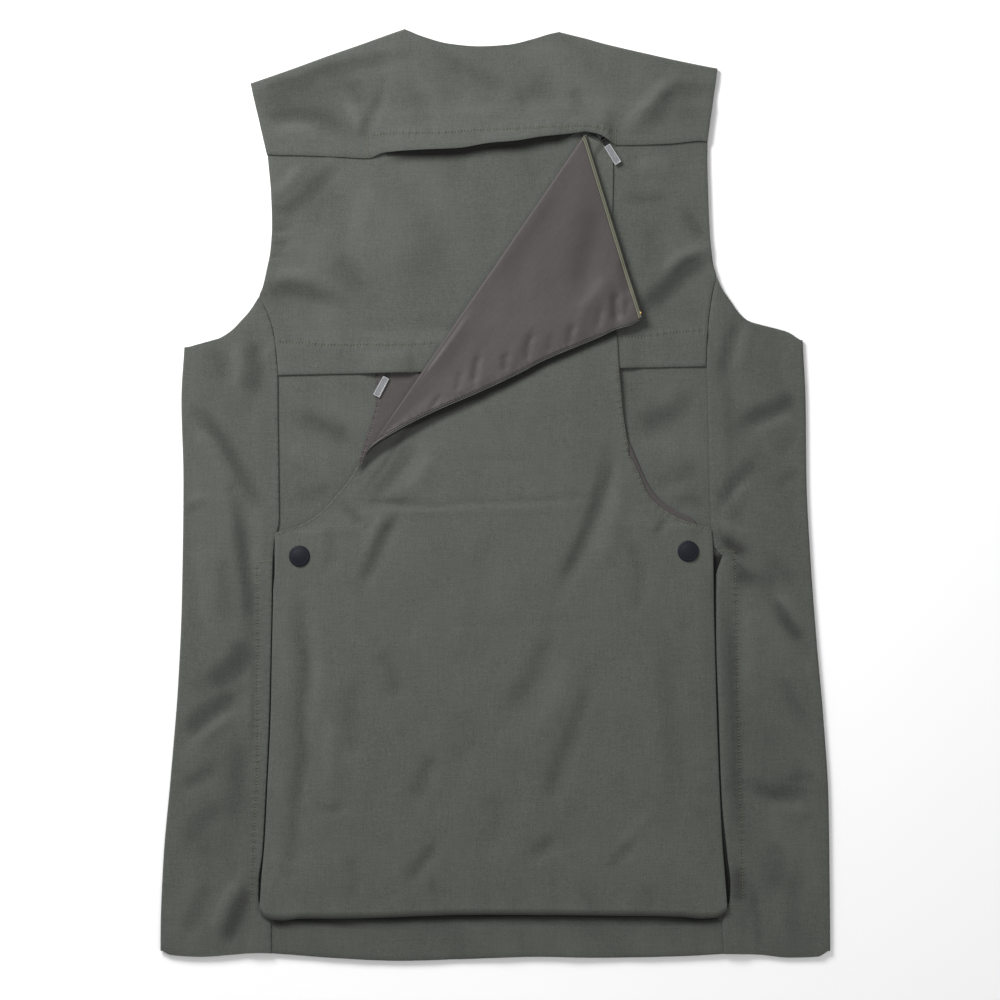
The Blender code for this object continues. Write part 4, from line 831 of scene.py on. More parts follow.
def turn_edges(over, under, sides):
    """Bring the upper face down a little at the named edges of a grid, as a sewn edge is."""
    over = over.copy()
    for side in sides:
        edge = {"first row": np.s_[0], "last row": np.s_[-1],
                "first column": np.s_[:, 0], "last column": np.s_[:, -1]}[side]
        over[edge][..., 2] = np.maximum(over[edge][..., 2] - EDGE_DROP,
                                        under[edge][..., 2] + 0.15)
    return over


def laid(name, points, heights, finish, relief=None, sides=(), kept=None, shaded=None):
    """Shell over a grid of plan points, from the height of its under side at each."""
    lift = np.zeros(points.shape[:2]) if relief is None else relief
    under = np.dstack([points, heights + lift])
    over = turn_edges(np.dstack([points, heights + lift + CLOTH]), under, sides)
    return shell(name, under, over, finish, kept, lift, shaded)


# Side panels

def side_panel(name, seam, armhole, edge, front_seam, outward, finish):
    seam = refine(seam)
    top, foot = seam[0], seam[-1]
    fall = ((top[1] - seam[:, 1]) / (top[1] - foot[1]))[:, None]
    shares = even(80.0)
    shares = np.concatenate([shares[shares < 0.92], (0.93, 0.965, 1.0)])[None]
    high = y_at(armhole, top[0] + (edge[0].x - top[0]) * shares)
    low = y_at(HEM, foot[0] + (edge[-1].x - foot[0]) * shares)
    y = high + (low - high) * fall
    y[:, 0] = seam[:, 1]
    turn = x_at(edge, y) - outward * FOLD
    x = seam[:, :1] + (turn - seam[:, :1]) * shares
    plan = np.dstack([x, y])
    lip = smooth(-seam[:, 1], *LIP_FALL)[:, None]
    distance = np.abs(x - seam[:, :1])
    z = BACK + lip * LAYER * (1.0 - smooth(distance, 13.0, 9.0))
    clear = 1.0 - lip * (1.0 - smooth(distance, 2.0, 14.0))
    at_fold = smooth(distance / distance[:, -1:], 0.86, 0.14)
    relief = back_relief(plan) * clear * (1.0 - at_fold)
    inner = np.dstack([x, y, z + relief])
    outer = np.dstack([x, y, z + relief + CLOTH])
    outer = turn_edges(outer, inner, ("first column", "first row", "last row"))
    turn_x, turn_y = x[:, -1], y[:, -1]
    angles = np.linspace(0.0, math.pi, 11)[1:]
    for_fold = []
    for radius in (FOLD - CLOTH, FOLD):
        for_fold.append(np.dstack([
            turn_x[:, None] + outward * radius * np.sin(angles)[None],
            np.repeat(turn_y[:, None], len(angles), 1),
            np.repeat(FOLD + radius * np.cos(angles)[None], len(turn_x), 0)]))
    foot_y, head_y = front_seam[0].y, front_seam[1].y
    seam_y = head_y + (foot_y - head_y) * fall[:, 0]
    seam_x = mix(front_seam[0].x, front_seam[1].x, (seam_y - foot_y) / (head_y - foot_y))
    reach = np.linspace(0.0, 1.0, 9)[1:]
    back_x = mix(turn_x[:, None], seam_x[:, None], reach[None])
    back_y = mix(turn_y[:, None], seam_y[:, None], reach[None])
    flat_in = np.dstack([back_x, back_y, np.full(back_x.shape, CLOTH)])
    flat_out = np.dstack([back_x, back_y, np.zeros(back_x.shape)])
    under = np.concatenate([inner, for_fold[0], flat_in], axis=1)
    over = np.concatenate([outer, for_fold[1], flat_out], axis=1)
    hollow = np.zeros(under.shape[:2])
    hollow[:, :x.shape[1]] = relief
    # painted shade along the deeper creases
    dark = np.zeros(under.shape[:2])
    dark[:, :x.shape[1]] = painted_crease_shade(plan)
    return shell(name, under, over, finish, hollow=hollow, shaded=dark)


# Upper and lower back

def upper_back(name, finish):
    rows = [(left.x + GAP, left.y, right.x - GAP, right.y)
            for left, right in zip(SEAM_LEFT[WELT_ROWS - 1::-1], SEAM_RIGHT[WELT_ROWS - 1::-1])]
    rows += [tuple(row) for row in UPPER_ROWS]
    rows = refine([(*row, place) for place, row in enumerate(rows)])
    first_turn = mix(rows[0], rows[1], EDGE_TURN / STEP)
    rows = np.vstack([rows[:1], first_turn, rows[1:]])
    shares = even(360.0)
    plan = mix(rows[:, None, 0:2], rows[:, None, 2:4], shares[None, :, None])
    xs = [column.x for column in WELT_COLUMNS]
    column_x = mix(xs[0], xs[-1], shares)
    edge = ease_through(xs, [column.edge_z for column in WELT_COLUMNS], column_x)[None]
    upper = ease_through(xs, [column.upper_z for column in WELT_COLUMNS], column_x)[None]
    place = rows[:, 4:5]
    welt = mix(edge, upper, smooth(place, 1.0, 1.0))
    heights = mix(welt, BACK, smooth(place, 2.0, 1.0))
    relief = back_relief(plan)
    free = 1.0 - smooth(plan[..., 1], 118.0, 24.0)
    relief = relief * (1.0 - free) + np.abs(undulation(plan)) * 0.5 * free
    x = plan[..., 0]
    # Painted shadow on the cloth under the welt's free edge, and painted shade along the creases
    below = y_at(WELT_LINE, x) - plan[..., 1]
    shadow_under_welt = smooth(x, -96.0, 20.0) * (1.0 - smooth(x, 52.0, 14.0))
    dark = PAINTED_SHADOW_UNDER_EDGE * shadow_under_welt * np.exp(-(np.maximum(below - 3.5, 0.0) / 4.5) ** 2)
    return laid(name, plan, heights, finish, relief,
                ("first row", "first column", "last column"),
                shaded=np.maximum(dark, painted_crease_shade(plan)))


def lower_back(name, finish):
    falls = even(510.0, WIDE_STEP)
    shares = even(400.0, WIDE_STEP)
    low = y_at(HEM, mix(*HEM_SIDES, shares))[None]
    y = BACK_LOWER_TOP + (low - BACK_LOWER_TOP) * falls[:, None]
    left, right = x_at(SEAM_LEFT, y) - FACING, x_at(SEAM_RIGHT, y) + FACING
    plan = np.dstack([left + (right - left) * shares[None], y])
    inside = smooth(plan[..., 0] - left, 8.0, 14.0) * smooth(right - plan[..., 0], 8.0, 14.0)
    relief = back_relief(plan) * inside * (1.0 - smooth(y, 86.0, 12.0))
    # Painted shade inside the pocket slits, painted shadow under the bag's rolled lower edge, and
    # painted shade along the creases
    outside = np.maximum(x_at(BAG_LEFT_LINE, y) - plan[..., 0],
                         plan[..., 0] - x_at(BAG_RIGHT_LINE, y))
    pocket = smooth(outside, -6.0, 4.0) * smooth(-y, 46.0, 8.0) * (1.0 - smooth(-y, 344.0, 4.0))
    below = y_at(BAG_BOTTOM, plan[..., 0]) - y
    beside = smooth(np.abs(plan[..., 0]), 184.0, 10.0)
    shadow_under_bag = PAINTED_SHADOW_UNDER_EDGE * np.exp(-(np.maximum(below - 2.0, 0.0) / 3.5) ** 2)
    shadow_under_bag = shadow_under_bag + 0.16 * np.exp(-np.maximum(below, 0.0) / 12.0)
    pocket = np.clip(pocket + shadow_under_bag * (1.0 - beside) * smooth(-y, 346.0, 4.0), 0.0, 1.0)
    return laid(name, plan, np.full(y.shape, BACK), finish, np.minimum(relief, 0.9),
                ("last row",), shaded=np.maximum(pocket, painted_crease_shade(plan)))


# Yoke

def back_yoke(name, finish):
    table = [(*column, place) for place, column in enumerate(YOKE_COLUMNS)]
    spans = [refine(table[start:end + 1], 3.4)
             for start, end in ((0, NECK_LEFT), (NECK_LEFT, NECK_RIGHT),
                                (NECK_RIGHT, len(YOKE_COLUMNS) - 1))]
    beside = [mix(spans[1][0], spans[1][1], 0.08), mix(spans[1][-1], spans[1][-2], 0.08)]
    columns = np.vstack([spans[0], beside[0], spans[1][1:-1], beside[1], spans[2]])
    ends = [mix(columns[0], columns[1], 0.25), mix(columns[-1], columns[-2], 0.25)]
    columns = np.vstack([columns[:1], ends[0], columns[1:-1], ends[1], columns[-1:]])
    low, place = columns[:, 0:2], columns[:, 7]
    top = columns[:, 2:4].copy()
    left, right = place <= NECK_LEFT, place >= NECK_RIGHT
    for side, spots in ((left, (0, NECK_LEFT)), (right, (NECK_RIGHT, -1))):
        start, end = (YOKE_COLUMNS[spot] for spot in spots)
        slope = Vector((end.top_x - start.top_x, end.top_y - start.top_y)).normalized()
        top[side] -= np.array((-slope.y, slope.x)) * FOLD
    outward = (columns[:, 2:4] - top) / FOLD
    lap_y = y_at(YOKE_LAP, low[:, 0])
    lap = mix(low, top, ((lap_y - low[:, 1]) / (top[:, 1] - low[:, 1]))[:, None])

    rise = np.array((0.0, 0.04, 0.2, 0.4, 0.6, 0.8, 1.0))
    first = mix(low[:, None], lap[:, None], rise[None, :, None])
    open_part = smooth(low[:, 0], -92.0, 16.0) * (1.0 - smooth(low[:, 0], 44.0, 18.0))
    gape = WELT_GAPE * open_part * (1.0 + 0.25 * np.sin(low[:, 0] / 13.0))
    knots = np.stack([columns[:, 4] + gape, columns[:, 5] + 0.6 * gape, columns[:, 6]], axis=1)
    first_z = np.array([ease_through((0.0, 0.5, 1.0), row, rise) for row in knots])
    climb = np.linspace(0.0, 1.0, 22)[1:]
    second = mix(lap[:, None], columns[:, None, 2:4], climb[None, :, None])
    second -= outward[:, None] * FOLD * smooth(climb, 0.72, 0.28)[None, :, None]
    second_z = mix(knots[:, 2:], BACK, smooth(climb, 0.0, 0.24)[None])
    plan = np.concatenate([first, second], axis=1)
    heights = np.concatenate([first_z, second_z], axis=1)

    near_edge = smooth(plan[..., 1] - low[:, None, 1], 4.0, 22.0)
    near_top = 1.0 - smooth(np.concatenate([rise * 0.0, climb]), 0.8, 0.2)[None]
    free_welt = smooth(low[:, None, 0], -104.0, 12.0) * (1.0 - smooth(low[:, None, 0], 84.0, 10.0))
    relief = back_relief(plan) * near_edge * near_top
    relief = relief + 0.4 * np.abs(undulation(plan * 1.6)) * (1.0 - near_edge) * free_welt
    inner = np.dstack([plan, heights + relief])
    outer = turn_edges(np.dstack([plan, heights + relief + CLOTH]), inner,
                       ("first column", "first row", "last row"))
    angles = np.linspace(0.0, math.pi, 11)[1:]
    rings = []
    for radius in (FOLD - CLOTH, FOLD):
        bulge = top[:, None] + outward[:, None] * radius * np.sin(angles)[None, :, None]
        level = np.repeat(FOLD + radius * np.cos(angles)[None], len(top), 0)
        rings.append(np.dstack([bulge, level]))
    seam_spots = np.zeros(top.shape)
    for side, spots, seam in ((left, (0, NECK_LEFT), SHOULDER_LEFT),
                              (right, (-1, NECK_RIGHT), SHOULDER_RIGHT)):
        tip, neck = (YOKE_COLUMNS[spot].top_x for spot in spots)
        share = ((columns[side, 2] - tip) / (neck - tip))[:, None]
        seam_spots[side] = mix(np.array(seam[0], float), np.array(seam[1], float), share)
    reach = np.linspace(0.0, 1.0, 8)[1:]
    front = mix(top[:, None], seam_spots[:, None], reach[None, :, None])
    flat = front.shape[:2]
    under = np.concatenate([inner, rings[0], np.dstack([front, np.full(flat, CLOTH)])], axis=1)
    over = np.concatenate([outer, rings[1], np.dstack([front, np.zeros(flat)])], axis=1)
    kept = np.ones((under.shape[0] - 1, under.shape[1] - 1), bool)
    neck = (place[:-1] >= NECK_LEFT) & (place[1:] <= NECK_RIGHT)
    across = ~left & ~right
    neck = neck | across[:-1] | across[1:]
    kept[neck, inner.shape[1] - 1:] = False
    hollow = np.zeros(under.shape[:2])
    hollow[:, :relief.shape[1]] = relief
    # painted shade along the deeper creases
    dark = np.zeros(under.shape[:2])
    dark[:, :relief.shape[1]] = painted_crease_shade(plan)
    return shell(name, under, over, finish, kept, hollow, dark)


# Fronts

NECKLINE_START = 287.0           # rows above this line have no lap


def front(name, rows, lap, raised, finish):
    lines = []
    for row in rows:
        toward = math.copysign(GAP, row.right_x - row.left_x)
        end_x = row.right_x + (lap if row.right_y < NECKLINE_START else 0.0)
        lines.append((row.left_x + toward, row.left_y, end_x, row.right_y))
    lines[-1] = (lines[-1][0], lines[-1][1] - GAP, lines[-1][2], lines[-1][3] - GAP)
    lines = refine(lines, WIDE_STEP)
    shares = even(230.0, WIDE_STEP)
    plan = mix(lines[:, None, 0:2], lines[:, None, 2:4], shares[None, :, None])
    lift = smooth(shares, 0.72, 0.11)[None] * raised
    return laid(name, plan, np.repeat(lift, len(lines), 0), finish, front_relief(plan))


# Game bag

def bag_height(points):
    """Under side of the bag front where it lies on the layers below it."""
    crest = height_at(BAG_CREST, points[..., 1])
    floor = height_at(BAG_FLOOR, points[..., 1])
    drop = smooth(np.maximum(fold_distance(points), 0.0), CREST_START, CREST_WIDTH)
    return np.maximum(floor, crest - LAYER * drop)


FOLD_TURNS = 9                   # flats round the fold
FOLD_AXIS = 0.8                  # fold's axis above the lower layer
FLAP_RISE = 1.6                  # turned layer above the lower one
PRESSED = 0.55                   # how far the fold is pressed together
FOLD_SHARES = np.linspace(0.0, 0.985, 96)
TIP_SLOPE, TIP_SHARE = 12.2, 0.08  # rows by A slope down to the right, in this first share
FLAP_COLUMNS = 68                # points across the turned flap


def fold_size(share):
    """Fold radius as a share of FLAP_FOLD; pressed flat, and dying away towards C."""
    return PRESSED * (1.0 - 0.8 * smooth(share, 0.74, 0.25))


def flap_frame(share):
    """Start of the turned layer, its plan points to the free edge, and their lift."""
    size = fold_size(share)
    start = (np.array(CORNER_A, float) + FOLD_LINE * share[:, None]
             + FOLD_ACROSS * FLAP_FOLD * size[:, None])
    skew = FLAP_SKEW * (1.0 - share ** 4)
    end = along(FLAP_EDGE, share * (1.0 - skew * share))
    return start, end, size


def flap_grid(share, inset):
    start, end, size = flap_frame(share)
    columns = np.concatenate((np.linspace(0.0, 1.0, FLAP_COLUMNS)[1:-1], (0.99, 1.0)))
    length = np.hypot(*(end - start).T)
    reach = ((length - inset * np.minimum(1.0, length / 12.0)) / length)[:, None]
    plan = mix(start[:, None], end[:, None], (columns[None] * reach)[..., None])
    lift = FLAP_LIFT * smooth(columns, 0.5, 0.5)[None] * (1.0 - share ** 3)[:, None]
    relief = folds(plan, FLAP_CREASES) * smooth(columns, 0.0, 0.12)[None]
    relief = (relief + 0.35 * undulation(plan)) * np.minimum(1.0, length / 40.0)[:, None]
    edge_wave = 0.35 * np.sin(plan[..., 0] / 4.1 + 1.4 * np.sin(plan[..., 0] / 17.0))
    relief = relief + edge_wave * smooth(columns, 0.86, 0.14)[None] * (length > 30.0)[:, None]
    return start, plan, lift, relief, size


def fold_ring(start, size, radius):
    """Points round the fold for every row, from the lower layer to the upper one."""
    crest = height_at(BAG_CREST, start[:, 1]) + bag_relief(start)
    axis = crest + (CLOTH + FOLD_AXIS) * size
    angles = np.linspace(0.0, math.pi, FOLD_TURNS + 1)[None]
    reach = (radius * size)[:, None]
    plan = start[:, None] - FOLD_ACROSS * (reach * np.sin(angles))[..., None]
    return np.dstack([plan, axis[:, None] - reach * np.cos(angles)])


def turned_height(plan, lift, relief, size, above):
    """Under side of a layer of the turned flap."""
    base = height_at(BAG_CREST, plan[..., 1]) + np.maximum(bag_relief(plan), 0.0)
    return base + (CLOTH + FLAP_RISE + above) * size[:, None] + lift + relief


def bag_front(name, finish):
    start, turned, lift, relief, size = flap_grid(FOLD_SHARES, 0.0)
    y = start[:, 1] - TIP_SLOPE * np.maximum(0.0, 1.0 - FOLD_SHARES / TIP_SHARE)
    right = np.column_stack([x_at(BAG_RIGHT_UPPER, y), y])
    last = (*start[-1], *right[-1])
    lower_rows = refine([last] + [tuple(row) for row in BAG_ROWS])[1:]
    feet = (BAG_BOTTOM[0].x, -350.0, BAG_BOTTOM[-1].x, -350.0)
    foot_rows = refine([tuple(lower_rows[-1]), feet])[1:-1]
    rows = np.vstack([np.hstack([start, right]), lower_rows, foot_rows])
    shares = even(370.0)[::-1]
    plan = mix(rows[:, None, 0:2], rows[:, None, 2:4], shares[None, :, None])
    base = np.array([y_at(BAG_BOTTOM, x) + ROLL for x in plan[-1, :, 0]])
    settle = smooth(-plan[..., 1], 300.0, 50.0)
    plan[..., 1] += (base - (-350.0))[None] * settle
    beside = smooth(-plan[..., 1], 66.0, 14.0) * (1.0 - smooth(-plan[..., 1], 318.0, 26.0))
    plan[..., 0] -= beside * (1.0 - smooth(plan[..., 0], -186.0, 40.0))
    heights = bag_height(plan)
    side = height_at(BAG_SIDE, plan[..., 1])
    inset = bag_inset(plan)
    at_side = 1.0 - smooth(inset, 0.0, 12.0)
    below = smooth(-plan[..., 1], 30.0, 20.0)
    heights = mix(heights, side, at_side * below)
    lift_all = bag_relief(plan)
    under = np.dstack([plan, heights + lift_all])
    shell_thick = np.full(plan.shape[:2], CLOTH)
    near_fold = smooth(fold_distance(plan[:len(start)]), 2.0, 12.0)
    shell_thick[:len(start)] = CLOTH * mix(size[:, None], 1.0, near_fold)
    over = np.dstack([plan, heights + lift_all + shell_thick])
    crest = height_at(BAG_CREST, start[:, 1]) + bag_relief(start)
    under[:len(start), -1, 2] = crest
    over[:len(start), -1, 2] = crest + CLOTH * size
    over[:, 0, 2] -= EDGE_DROP
    over[len(start):, -1, 2] -= EDGE_DROP

    outer = fold_ring(start, size, FLAP_FOLD - LAYER)[:, 1:]
    inner = fold_ring(start, size, FLAP_FOLD - LAYER - CLOTH)[:, 1:]
    upper = turned_height(turned, lift, relief, size, 0.0)
    thick = (CLOTH * size)[:, None]
    turned_low = np.dstack([turned, upper + thick])
    turned_high = np.dstack([turned, upper])
    spare = outer.shape[1] + turned.shape[1]

    def pad(grid, extra):
        filler = np.repeat(grid[:, -1:], spare, 1)
        if extra is not None:
            filler[:len(extra)] = extra
        return np.concatenate([grid, filler], axis=1)

    under = pad(under, np.concatenate([outer, turned_low], axis=1))
    over = pad(over, np.concatenate([inner, turned_high], axis=1))

    foot = np.column_stack([plan[-1, :, 0], base])
    centre = LAP + ROLL
    angles = np.linspace(0.0, math.pi, 13)
    swell = bag_relief(plan[-1])[:, None] * (1.0 + np.cos(angles)[None]) / 2.0
    rings = []
    for radius in (ROLL - CLOTH, ROLL):
        y = foot[:, 1:] - radius * np.sin(angles)[None]
        x = np.repeat(foot[:, :1], len(angles), 1)
        z = centre + radius * np.cos(angles)[None] + swell
        rings.append(np.dstack([x, y, z]).swapaxes(0, 1))
    back = foot + np.array((0.0, ROLL_RETURN - ROLL))
    turned_in = [np.dstack([back[None], np.full((1, len(back)), level)])
                 for level in (LAP + CLOTH, LAP)]
    under = np.vstack([under, pad(np.vstack([rings[0], turned_in[0]]), None)])
    over = np.vstack([over, pad(np.vstack([rings[1], turned_in[1]]), None)])

    kept = np.ones((under.shape[0] - 1, under.shape[1] - 1), bool)
    body = len(shares)
    kept[len(start) - 1:, body - 1:] = False
    half_roll = len(rows) + 6
    kept[half_roll:, :3] = False
    kept[half_roll:, body - 4:body - 1] = False
    hollow = np.zeros(under.shape[:2])
    # fold numbers that paint shade into the bag's creases and onto its turned flap
    hollow[:len(rows), :body] = BAG_SHADE * folds(plan, BAG_CREASES) * smooth(inset, 0.0, 26.0)
    hollow[:len(start), -turned.shape[1]:] = relief
    # Painted shadow under the flap's free edge, and painted shade on the under side of the rolled
    # lower edge
    dark = np.zeros(under.shape[:2])
    x, y = plan[..., 0], plan[..., 1]
    below = y_at(FLAP_EDGE, x) - y
    reach = ease_through([spot.x for spot in SHADOW_REACH_UNDER_FLAP], [spot.y for spot in SHADOW_REACH_UNDER_FLAP], x)
    dark[:len(rows), :body] = PAINTED_SHADOW_UNDER_EDGE * (1.0 - smooth(below, reach - 3.0, 6.0)) \
        * smooth(below, -6.0, 4.0) \
        * smooth(x, CORNER_C.x - 6.0, 8.0) * (1.0 - smooth(x, 116.0, 8.0))
    dark[len(rows):len(rows) + len(angles)] = 0.5
    return shell(name, under, over, finish, kept, hollow, dark)


def flap_lining(name, finish):
    """Brown lining outside the fold, ending a little inside the flap's free edge."""
    share = np.concatenate(([SHARE_INSET], FOLD_SHARES[1:-1], [FOLD_SHARES[-1] - SHARE_INSET]))
    start, turned, lift, relief, size = flap_grid(share, LINING_INSET)
    y = start[:, 1]
    length = x_at(BAG_RIGHT_UPPER, y) - start[:, 0]
    creep = np.minimum(FLAP_CREEP, CREEP_SHARE * length) * size
    crest = height_at(BAG_CREST, y) + bag_relief(start)
    steps = np.linspace(1.0, 0.0, 4)[:-1]
    first = start[:, None] + np.array((1.0, 0.0)) * (creep[:, None] * steps[None])[..., None]
    level = np.repeat((crest - LAYER * size)[:, None], len(steps), 1)
    thick = (CLOTH * size)[:, None]
    outer = fold_ring(start, size, FLAP_FOLD)
    inner = fold_ring(start, size, FLAP_FOLD - CLOTH)
    upper = turned_height(turned, lift, relief, size, LAYER)
    under = np.concatenate([np.dstack([first, level]), outer,
                            np.dstack([turned, upper + thick])], axis=1)
    over = np.concatenate([np.dstack([first, level + thick]), inner,
                           np.dstack([turned, upper])], axis=1)
    under[:, -1, 2] -= EDGE_DROP * size
    hollow = np.zeros(under.shape[:2])
    hollow[:, -turned.shape[1]:] = relief
    return shell(name, under, over, finish, hollow=hollow)


TAPE_TURN = 0.78                 # tape's width across its line, beside its run along the fold
TAPE_TUCK = 1.4                  # how far the tape reaches under the fold
LINING_INSET = 1.3               # lining and tape end this far inside the flap's free edge
SHARE_INSET = 0.003              # and this share inside its two ends
# how dark the tape is, from its outer edge to its inner one: woven light and dark lines, and
# painted shade at both edges
TAPE_LINES = (0.8, 0.7, 0.1, -0.2, -0.2, 0.0, 0.6, 0.3, -0.4, -0.5, -0.3, 0.6, 0.8)


def flap_tape(name, finish):
    """Zip tape along the flap's upper edge, from A to B."""
    width = TAPE / (np.hypot(*FOLD_LINE) * TAPE_TURN)
    share = np.linspace(SHARE_INSET, SHARE_INSET + width, len(TAPE_LINES))
    start, turned, lift, relief, size = flap_grid(share, LINING_INSET)
    first = start - FOLD_ACROSS * TAPE_TUCK
    near = mix(first[:, None], turned[:, :1], np.linspace(0.0, 0.8, 3)[None, :, None])
    line = np.concatenate([near, turned], axis=1)
    spare = np.zeros((len(share), 3))
    heights = turned_height(line, np.hstack([spare, lift]), np.hstack([spare, relief]), size,
                            2 * LAYER + 0.1)
    lines = np.repeat(np.array(TAPE_LINES)[:, None], line.shape[1], 1)
    return laid(name, line, heights, finish, sides=("first row", "last row"), shaded=lines)


def bag_lining(name, finish):
    rows = refine([(span.left, span.y, span.right) for span in LINING_SPANS], WIDE_STEP)
    shares = even(330.0, WIDE_STEP)
    x = mix(rows[:, :1], rows[:, 2:], shares[None])
    plan = np.dstack([x, np.repeat(rows[:, 1:2], len(shares), 1)])
    open_part = 1.0 - smooth(bag_inset(plan), -10.0, 16.0)
    relief = 0.5 * undulation(plan * 1.4) * open_part * (1.0 - smooth(plan[..., 1], 84.0, 10.0))
    relief = np.clip(relief, -0.2, 0.5)
    return laid(name, plan, np.full(plan.shape[:2], LAP), finish, relief,
                ("first column", "last column"))


def straight_tape(name, upper, lower, finish):
    count = min(len(refine(upper, 4.0)), len(refine(lower, 4.0)))
    share = np.linspace(0.0, 1.0, count)
    plan = mix(along(upper, share)[None], along(lower, share)[None],
               np.linspace(0.0, 1.0, 5)[:, None, None])
    return laid(name, plan, np.full(plan.shape[:2], LAP), finish, sides=("last row",))


# Sewing: rows of small shapes along lines, by one node tree

def input_socket(tree, name, kind, value):
    socket = tree.interface.new_socket(name=name, in_out="INPUT", socket_type=kind)
    if value is not None:
        socket.default_value = value
    return socket.identifier


def bead_row_tree():
    """Node tree that sets an oval bead at every step of a line, and makes one mesh of them."""
    tree = bpy.data.node_groups.new("bead_row", "GeometryNodeTree")
    tree.interface.new_socket(name="Lines", in_out="INPUT", socket_type="NodeSocketGeometry")
    sockets = {name: input_socket(tree, name, "NodeSocketFloat", 0.001)
               for name in ("Step", "Length", "Width", "Height", "Wander")}
    sockets["Seed"] = input_socket(tree, "Seed", "NodeSocketInt", 1)
    sockets["Finish"] = input_socket(tree, "Finish", "NodeSocketMaterial", None)
    tree.interface.new_socket(name="Beads", in_out="OUTPUT", socket_type="NodeSocketGeometry")

    def node(kind, settings=None, **links):
        made = tree.nodes.new(kind)
        for key, value in (settings or {}).items():
            setattr(made, key, value)
        for key, value in links.items():
            socket = made.inputs[key.replace("_", " ")]
            if isinstance(value, bpy.types.NodeSocket):
                tree.links.new(value, socket)
            else:
                socket.default_value = value
        return made

    entry = node("NodeGroupInput").outputs
    curve = node("GeometryNodeMeshToCurve", Mesh=entry["Lines"])
    spaced = node("GeometryNodeResampleCurve", {"mode": "LENGTH"}, Curve=curve.outputs["Curve"],
                  Length=entry["Step"])
    tangent = node("GeometryNodeInputTangent")
    turned = node("FunctionNodeAlignRotationToVector", {"axis": "X"},
                  Vector=tangent.outputs["Tangent"])
    bead = node("GeometryNodeMeshUVSphere", Segments=6, Rings=4, Radius=0.5)
    scale = node("ShaderNodeCombineXYZ", X=entry["Length"], Y=entry["Width"], Z=entry["Height"])
    beads = node("GeometryNodeInstanceOnPoints", Points=spaced.outputs["Curve"],
                 Instance=bead.outputs["Mesh"], Rotation=turned.outputs["Rotation"],
                 Scale=scale.outputs["Vector"])
    low = node("ShaderNodeVectorMath", {"operation": "SCALE"}, Scale=-1.0)
    wander = node("ShaderNodeCombineXYZ", X=entry["Wander"], Y=entry["Wander"],
                  Z=entry["Wander"])
    tree.links.new(wander.outputs["Vector"], low.inputs[0])
    stray = node("FunctionNodeRandomValue", {"data_type": "FLOAT_VECTOR"}, Seed=entry["Seed"])
    tree.links.new(low.outputs["Vector"], stray.inputs["Min"])
    tree.links.new(wander.outputs["Vector"], stray.inputs["Max"])
    moved = node("GeometryNodeTranslateInstances", {}, Instances=beads.outputs["Instances"],
                 Translation=stray.outputs["Value"])
    real = node("GeometryNodeRealizeInstances", Geometry=moved.outputs["Instances"])
    smooth_faces = node("GeometryNodeSetShadeSmooth", Geometry=real.outputs["Geometry"])
    finished = node("GeometryNodeSetMaterial", Geometry=smooth_faces.outputs["Geometry"],
                    Material=entry["Finish"])
    node("NodeGroupOutput", Beads=finished.outputs["Geometry"])
    return tree, sockets


Sewing = namedtuple("Sewing", "step length width height wander")
TOPSTITCH = Sewing(2.7, 2.1, 0.5, 0.36, 0.07)
EDGE_STITCH = Sewing(2.6, 1.9, 0.42, 0.32, 0.07)
BARTACK = Sewing(1.15, 0.6, 1.5, 0.4, 0.3)
TEETH = Sewing(1.25, 0.75, 1.9, 1.1, 0.0)
CORNER_THREAD = Sewing(0.9, 0.5, 1.6, 0.6, 0.2)
CORNER_STOP = Sewing(1.0, 1.5, 1.3, 0.9, 0.0)

cloth_trees = {}


def surface_height(piece, x, y):
    """Top of a piece at a place, in millimetres."""
    if piece not in cloth_trees:
        data = pieces[piece].data
        cloth_trees[piece] = BVHTree.FromPolygons([v.co.copy() for v in data.vertices],
                                                  [tuple(p.vertices) for p in data.polygons])
    hit = cloth_trees[piece].ray_cast(Vector((x * MM, y * MM, 0.1)), Vector((0.0, 0.0, -1.0)))
    return None if hit[0] is None else hit[0].z / MM


def bead_row(name, lines, sewing, finish, raised=0.14, seed=1):
    """One mesh of beads along lines that lie on the tops of named pieces."""
    tree, sockets = bead_row_tree()
    vertices, edges = [], []
    for piece, points in lines:
        line = refine(points, 1.6)
        previous = None
        for x, y in line:
            z = surface_height(piece, x, y)
            if z is None:
                previous = None
                continue
            vertices.append(Vector((x, y, z + raised)) * MM)
            if previous is not None:
                edges.append((previous, len(vertices) - 1))
            previous = len(vertices) - 1
    mesh = bpy.data.meshes.new(name + "_lines")
    mesh.from_pydata(vertices, edges, [])
    path = linked(name + "_lines", mesh)
    modifier = path.modifiers.new("beads", "NODES")
    modifier.node_group = tree
    values = {"Step": sewing.step, "Length": sewing.length, "Width": sewing.width,
              "Height": sewing.height, "Wander": sewing.wander}
    for key, value in values.items():
        modifier[sockets[key]] = value * MM
    modifier[sockets["Seed"]] = seed
    modifier[sockets["Finish"]] = finish
    graph = bpy.context.evaluated_depsgraph_get()
    beads = bpy.data.meshes.new_from_object(path.evaluated_get(graph))
    beads.name = name
    bpy.data.objects.remove(path)
    return linked(name, beads)


# Trim

